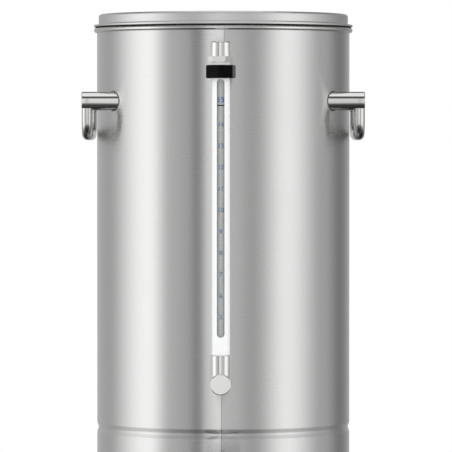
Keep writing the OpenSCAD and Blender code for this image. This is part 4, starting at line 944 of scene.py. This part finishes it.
@dataclass
class ControlPanel(SubAssembly):
    """Knob, dial, switch, lamp and mains inlet, with the plain marks on them."""

    angle: float = math.radians(34.0)
    height: float = 75.0 * MM
    ink_t: float = 0.08 * MM
    dial_y: float = -139.5 * MM
    dial_r: float = 28.0 * MM
    figures: tuple[str, ...] = ("0", "30", "50", "70", "90")
    sweep: float = math.radians(270.0)
    tick_w: float = 0.7 * MM
    tick_len: float = 2.4 * MM
    tick_edge: float = 0.03 * MM
    tick_inset: float = 5.6 * MM
    short_share: float = 0.6
    figure_h: float = 2.8 * MM
    figure_inset: float = 2.4 * MM
    pointer_y: float = -158.8 * MM
    pointer_low: float = 5.9 * MM
    pointer_len: float = 9.2 * MM
    pointer_w: float = 1.3 * MM
    pointer_t: float = 0.16 * MM
    pointer_edge: float = 0.07 * MM
    rocker_y: float = -137.0 * MM
    rocker_front: float = 3.169 * MM
    rocker_ridge: float = -0.445 * MM
    rocker_throw: float = math.radians(16.0)
    rocker_mark_h: float = 3.2 * MM
    rocker_mark_out: float = 4.1 * MM

    FINISHES = {
        "turned_fitting": ("thermostat_spindle", "pilot_lamp_bezel"),
        "black_nylon": ("thermostat_knob", "power_switch_housing", "mains_inlet"),
        "satin_sheet": ("dial_plate",),
        "red_plastic": ("power_switch_rocker",),
        "amber_lens": ("pilot_lamp_lens",),
        "brass": ("mains_inlet_pins",),
        "zinc_plate": ("mains_inlet_screws",),
    }

    def build(self) -> None:
        """Model the marks of the dial, the knob and the rocker."""
        self.dial_marks()
        self.pointer_inlay()
        self.rocker_marks()

    def on_panel(self, point: Vector, turn: float) -> Vector:
        """Turn a point round the body to its control and lift it to the level of the controls."""
        return Matrix.Rotation(turn, 4, "Z") @ point + Vector((0.0, 0.0, self.height))

    def pointer_inlay(self) -> None:
        """Model the pale line let into the pointer of the knob."""
        Workshop.clear()
        middle = self.pointer_low + self.pointer_len / 2
        bpy.ops.mesh.primitive_cube_add(size=1.0, location=(0.0, self.pointer_y, middle))
        size = (self.pointer_w, self.pointer_t, self.pointer_len)
        inlay = Workshop.take("knob_pointer_inlay", size)
        Workshop.apply(inlay, "BEVEL", width=self.pointer_edge, segments=3)
        Workshop.move_points(inlay, lambda point: self.on_panel(point, self.angle))
        Workshop.smooth(inlay)
        self.deliver(inlay, "white_ink", Body.KNOB, "white_plastic")

    def rocker_marks(self) -> None:
        """Model the plain on and off marks on the two faces of the rocker."""
        faces = {"I": (0.0, 1.0), "O": (self.rocker_throw, -1.0)}
        marks = []
        for mark, (tilt, side) in faces.items():
            label = self.inked(mark, self.rocker_mark_h, f"rocker_mark_{mark}")
            lean = Matrix.Rotation(tilt, 4, "X")
            reach = lean @ Vector((0.0, 0.0, side * self.rocker_mark_out))
            ridge = Vector((0.0, self.rocker_y - self.rocker_front, self.rocker_ridge))
            label.data.transform(Matrix.Translation(ridge + reach) @ lean)
            marks.append(label)
        both = Workshop.fuse(marks, "rocker_marks")
        Workshop.move_points(both, lambda point: self.on_panel(point, -self.angle))
        self.deliver(both, "white_ink", Body.ROCKER, "white_plastic")

    def inked(self, text: str, height: float, name: str) -> Piece:
        """Model plain figures with the thickness of the ink.

        Args:
            text: The figures.
            height: Height of a figure.
            name: Name of the piece.

        Returns:
            The mesh object.
        """
        label = Workshop.words(text, height, name)
        Workshop.apply(label, "SOLIDIFY", thickness=self.ink_t, offset=0.0)
        return label

    def dial_marks(self) -> None:
        """Model the ticks and figures of the dial."""
        marks = []
        count = len(self.figures)
        for place in range(2 * count - 1):
            turn = self.sweep * place / (2 * count - 2)
            marks.append(self.tick(turn, place % 2 == 0, f"dial_tick_{place}"))
            if place % 2 == 0:
                marks.append(self.figure(turn, self.figures[place // 2], f"dial_figure_{place}"))
        dial = Workshop.fuse(marks, "dial_marks")
        front = Vector((0.0, self.dial_y, 0.0))
        Workshop.move_points(dial, lambda point: self.on_panel(point + front, self.angle))
        self.deliver(dial, "black_ink", Body.URN, "black_plastic")

    def tick(self, turn: float, long: bool, name: str) -> Piece:
        """Model one tick as a thin plate with softened edges.

        Args:
            turn: Angle clockwise from the top.
            long: Whether the tick is a long one.
            name: Name of the piece.

        Returns:
            The mesh object, round the axis of the dial.
        """
        Workshop.clear()
        length = self.tick_len if long else self.tick_len * self.short_share
        middle = self.dial_r - self.tick_inset + (self.tick_len - length) / 2
        bpy.ops.mesh.primitive_cube_add(size=1.0, location=(0.0, 0.0, middle))
        tick = Workshop.take(name, (self.tick_w, self.ink_t, length))
        Workshop.apply(tick, "BEVEL", width=self.tick_edge, segments=2)
        spin = Matrix.Rotation(turn, 4, "Y")
        Workshop.move_points(tick, lambda point: spin @ point)
        return tick

    def figure(self, turn: float, text: str, name: str) -> Piece:
        """Model one upright figure beside its tick.

        Args:
            turn: Angle clockwise from the top.
            text: The figure.
            name: Name of the piece.

        Returns:
            The mesh object, round the axis of the dial.
        """
        label = self.inked(text, self.figure_h, name)
        reach = self.dial_r - self.figure_inset
        shift = Vector((reach * math.sin(turn), 0.0, reach * math.cos(turn)))
        Workshop.move_points(label, lambda point: point + shift)
        return label


@dataclass(frozen=True)
class ScrewGroup:
    """Equal pan-head screws that hold one thing, with shanks along the Z axis of their places."""

    node: str
    thread_d: float
    length: float
    body: Body
    places: tuple[Matrix, ...]


@dataclass
class Screws(SubAssembly):
    """The screws whose heads show, each with a cross recess."""

    head_ratio: float = 2.0
    head_rise: float = 0.6
    edge_share: float = 0.4
    tip_share: float = 0.1
    arm_len: float = 1.15
    arm_w: float = 0.22
    arm_depth: float = 0.38
    arm_taper: float = 0.6
    flat: float = 0.9
    base_r: float = 130.0 * MM
    base_z: float = 13.5 * MM
    foot_r: float = 98.0 * MM
    foot_z: float = 9.5 * MM
    block_span: float = 18.0 * MM
    block_y: float = 62.0 * MM
    inlet_y: float = 140.0 * MM
    inlet_z: float = 63.0 * MM
    inlet_span: float = 40.0 * MM
    lever_y: float = -185.5 * MM
    lever_z: float = 141.0 * MM
    dish_z: float = 580.9 * MM
    lid_span: float = 96.0 * MM

    @staticmethod
    def ring(count: int, radius: float, first: float, height: float) -> tuple[Matrix, ...]:
        """Places evenly round the axis of the body, the first at an angle in degrees."""
        turns = (math.radians(first + 360.0 * place / count) for place in range(count))
        return tuple(
            Matrix.Translation((radius * math.cos(turn), radius * math.sin(turn), height))
            for turn in turns
        )

    @staticmethod
    def pair(span: float, y: float, height: float) -> tuple[Matrix, ...]:
        """Two places side by side along X, by their span, depth and height."""
        return tuple(Matrix.Translation((side * span / 2, y, height)) for side in (-1, 1))

    def groups(self) -> tuple[ScrewGroup, ...]:
        """All groups of screws.

        Returns:
            The groups, each for one node of the solids.
        """
        base = self.ring(6, self.base_r, 30.0, self.base_z)
        foot = self.ring(4, self.foot_r, 45.0, self.foot_z)
        block = self.pair(self.block_span, self.block_y, self.base_z)
        inward = Matrix.Rotation(math.pi / 2, 4, "X")
        heights = (self.inlet_z + side * self.inlet_span / 2 for side in (-1, 1))
        inlet = tuple(Matrix.Translation((0.0, self.inlet_y, z)) @ inward for z in heights)
        over = Matrix.Rotation(math.pi, 4, "X")
        lever = (Matrix.Translation((0.0, self.lever_y, self.lever_z)) @ over,)
        bar = self.pair(self.lid_span, 0.0, self.dish_z)
        return (
            ScrewGroup("base_screws", 4 * MM, 6.5 * MM, Body.URN, base),
            ScrewGroup("foot_screws", 4 * MM, 9.1 * MM, Body.URN, foot),
            ScrewGroup("terminal_block_screws", 4 * MM, 9.5 * MM, Body.URN, block),
            ScrewGroup("mains_inlet_screws", 3.5 * MM, 9.0 * MM, Body.URN, inlet),
            ScrewGroup("tap_lever_screw", 4 * MM, 9.0 * MM, Body.TAP, lever),
            ScrewGroup("lid_handle_screws", 4 * MM, 12.0 * MM, Body.LID, bar),
        )

    def build(self) -> None:
        """Model one screw of each group and copy it to its places."""
        for group in self.groups():
            screw = self.screw(group)
            copies = [
                Workshop.copy(screw, f"{group.node}_{i}", place)
                for i, place in enumerate(group.places)
            ]
            bpy.data.objects.remove(screw)
            together = Workshop.fuse(copies, f"{group.node}_crossed")
            Workshop.smooth(together)
            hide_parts(group.node)
            self.deliver(together, "zinc_plate", group.body, "zinc_steel")

    def screw(self, group: ScrewGroup) -> Piece:
        """Model one screw with its head under the origin and its shank upwards.

        Args:
            group: The group that it is for.

        Returns:
            The mesh object.
        """
        head_r = self.head_ratio * group.thread_d / 2
        head_h = self.head_rise * group.thread_d
        Workshop.clear()
        bpy.ops.mesh.primitive_cylinder_add(
            vertices=40, radius=head_r, depth=head_h, location=(0.0, 0.0, -head_h / 2)
        )
        screw = Workshop.take(f"{group.node}_model")
        Workshop.pick_faces(screw, lambda face: face.normal.z < -self.flat)
        bpy.ops.mesh.bevel(offset=self.edge_share * head_h, segments=4, affect="EDGES")
        Workshop.pick_faces(screw, lambda face: face.normal.z > self.flat)
        bpy.ops.mesh.inset(thickness=head_r - group.thread_d / 2)
        bpy.ops.mesh.extrude_region_move(
            TRANSFORM_OT_translate={"value": (0.0, 0.0, group.length)}
        )
        bpy.ops.mesh.bevel(offset=self.tip_share * group.thread_d, segments=1, affect="EDGES")
        bpy.ops.object.mode_set(mode="OBJECT")
        for turn in (0.0, math.pi / 2):
            Workshop.cut(screw, self.recess_arm(group.thread_d, head_h, turn))
        return screw

    def recess_arm(self, thread_d: float, head_h: float, turn: float) -> Piece:
        """Model the cutter for one arm of the cross recess, narrower towards its floor.

        Args:
            thread_d: Thread diameter of the screw.
            head_h: Height of its head.
            turn: Angle of the arm.

        Returns:
            The cutter.
        """
        Workshop.clear()
        bpy.ops.mesh.primitive_cube_add(
            size=1.0, location=(0.0, 0.0, -head_h), rotation=(0.0, 0.0, turn)
        )
        shares = (self.arm_len, self.arm_w, 2 * self.arm_depth)
        arm = Workshop.take("recess_arm", [share * thread_d for share in shares])
        Workshop.pick_faces(arm, lambda face: face.normal.z > self.flat)
        bpy.ops.transform.resize(value=(self.arm_taper, self.arm_taper, 1.0))
        bpy.ops.object.mode_set(mode="OBJECT")
        return arm


@dataclass
class Studio:
    """Camera, pale floor, soft lamps and the white surroundings."""

    frame_px: float = 452.0
    focal_px: float = 4200.0
    distance: float = 4.58
    horizon_px: float = 144.0
    eye_z: float = 472.9 * MM
    axis_px: float = 223.3
    sensor: float = 36.0
    fill: float = 1.0
    floor_r: float = 40.0
    floor_tones: tuple[float, float] = (0.93, 0.96)
    floor_noise: float = 3.0
    fade: tuple[float, float] = (1.0, 1.8)
    lamp_size: float = 1.6
    lamp_aim: float = 0.3

    # Soft panels and the gaps between them: angle round the urn and level
    PANELS = (
        (-180, 0.54), (-130, 0.48), (-72, 1.54), (-49, 0.70), (-34, 0.60), (-24, 0.34), (-9, 1.30),
        (3, 0.84), (27, 0.56), (60, 1.40), (104, 0.53), (134, 0.24), (180, 0.54),
    )
    # Share of the panels' level that is left at an angle of height
    WALL = ((-90, 0.05), (-52, 0.06), (-38, 0.2), (-20, 0.9), (26, 1.0), (35, 0.12), (90, 0.12))
    # Level that the ceiling adds at an angle of height
    CEILING = ((-90, 0.0), (54, 0.0), (64, 1.0), (90, 1.0))
    # Name, place and power in watts
    LAMPS = (
        ("key_lamp", (-1.5, -1.9, 2.0), 9.0),
        ("fill_lamp", (1.8, -1.6, 1.6), 4.0),
        ("rear_lamp", (0.3, 2.0, 2.2), 4.0),
    )

    def build(self) -> None:
        """Set the camera, the surroundings, the floor and the lamps."""
        bpy.context.scene.view_settings.view_transform = "Standard"
        self.camera()
        self.surroundings()
        self.floor()
        for name, place, power in self.LAMPS:
            self.lamp(name, place, power)

    def camera(self) -> None:
        """Place the camera where the photograph was taken from."""
        data = bpy.data.cameras.new("camera")
        data.sensor_width = self.sensor
        data.lens = self.sensor * self.focal_px / self.frame_px
        data.clip_end = 100.0
        camera = bpy.data.objects.new("camera", data)
        bpy.context.scene.collection.objects.link(camera)
        half = self.frame_px / 2
        pitch = math.atan((half - self.horizon_px) / self.focal_px)
        aside = (half - self.axis_px) / self.focal_px * self.distance
        camera.location = (aside, -self.distance, self.eye_z)
        camera.rotation_euler = (math.pi / 2 - pitch, 0.0, 0.0)
        bpy.context.scene.camera = camera

    def surroundings(self) -> None:
        """Make the surroundings: white to the camera, soft panels to metal, even light else."""
        world = bpy.data.worlds.new("surroundings")
        bpy.context.scene.world = world
        world.use_nodes = True
        bench = NodeBench(world.node_tree, "OutputWorld")
        place = bench.add("TexCoord").outputs["Generated"]
        way = bench.add("SeparateXYZ", {"Vector": place}).outputs
        turn = bench.math("ARCTAN2", way["X"], bench.math("MULTIPLY", way["Y"], -1.0))
        lift = bench.math("ARCSINE", way["Z"])
        panels = self.levels(bench, turn, 360.0, self.PANELS)
        wall = self.levels(bench, lift, 180.0, self.WALL)
        ceiling = self.levels(bench, lift, 180.0, self.CEILING)
        room, even, white = (
            bench.add("Background", {"Color": (1.0, 1.0, 1.0, 1.0), "Strength": strength})
            for strength in (bench.math("MULTIPLY_ADD", panels, wall, ceiling), self.fill, 1.0)
        )
        path = bench.add("LightPath").outputs
        seen = bench.math("MAXIMUM", path["Is Camera Ray"], path["Is Transmission Ray"])
        bench.show(bench.mix(seen, bench.mix(path["Is Glossy Ray"], even, room), white))

    @staticmethod
    def levels(
        bench: NodeBench, angle: Socket, span: float, stops: Sequence[tuple[float, float]]
    ) -> Socket:
        """Draw a smooth curve of light levels over an angle.

        Args:
            bench: The bench of the world.
            angle: Socket of the angle in radians.
            span: The whole span of the angle in degrees, with zero in its middle.
            stops: Angles in degrees with their levels.

        Returns:
            The socket of the level.
        """
        most = max(level for _, level in stops)
        place = bench.math("MULTIPLY_ADD", angle, 1.0 / math.radians(span), 0.5)
        ramp = bench.ramp(place, [(at / span + 0.5, (level / most,) * 3) for at, level in stops])
        ramp.color_ramp.interpolation = "EASE"
        return bench.math("MULTIPLY", ramp.outputs["Color"], most)

    def floor(self) -> None:
        """Lay a wide pale floor that fades to white far out, and that metal doesn't see."""
        Workshop.clear()
        bpy.ops.mesh.primitive_circle_add(
            vertices=96, radius=self.floor_r, fill_type="NGON", location=(0.0, 0.0, 0.0)
        )
        floor = Workshop.take("floor")
        material, bench = NodeBench.material("pale_floor")
        place = bench.add("TexCoord").outputs["Object"]
        low, high = ((tone,) * 3 for tone in self.floor_tones)
        shade = bench.blend(bench.noise(place, self.floor_noise), low, high)
        pale = bench.add("BsdfDiffuse", {"Color": shade})
        white = bench.add("Emission", {"Strength": 1.0})
        distance = bench.add("VectorMath", {0: place}, operation="LENGTH").outputs["Value"]
        span = {"Value": distance, "From Min": self.fade[0], "From Max": self.fade[1]}
        far = bench.add("MapRange", span, interpolation_type="SMOOTHSTEP").outputs["Result"]
        camera = bench.add("LightPath").outputs["Is Camera Ray"]
        bench.show(bench.mix(camera, pale, bench.mix(far, pale, white)))
        floor.visible_glossy = False
        floor.data.materials.append(material)

    def lamp(self, name: str, place: Sequence[float], power: float) -> None:
        """Hang one soft square lamp that points at the urn and that metal doesn't see.

        Args:
            name: Name of the lamp.
            place: Where it hangs.
            power: Its power in watts.
        """
        data = bpy.data.lights.new(name, "AREA")
        data.shape = "SQUARE"
        data.size = self.lamp_size
        data.energy = power
        lamp = bpy.data.objects.new(name, data)
        bpy.context.scene.collection.objects.link(lamp)
        lamp.location = place
        aim = Vector((0.0, 0.0, self.lamp_aim)) - Vector(place)
        lamp.rotation_euler = aim.to_track_quat("-Z", "Y").to_euler()
        lamp.visible_glossy = False


def main() -> None:
    """Load the solids, build and dress every sub-assembly, and set the studio."""
    logging.basicConfig(level=logging.INFO, format="%(name)s: %(message)s")
    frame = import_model()
    book = FinishBook()
    kinds = (Vessel, Lid, DropHandles, LevelGauge, Tap, HeatingBay, ControlPanel, Screws)
    assemblies = [kind(book) for kind in kinds]
    for assembly in assemblies:
        assembly.build()
    for assembly in assemblies:
        assembly.dress(frame["nodes"])
    Studio().build()


if __name__ == "__main__":
    main()
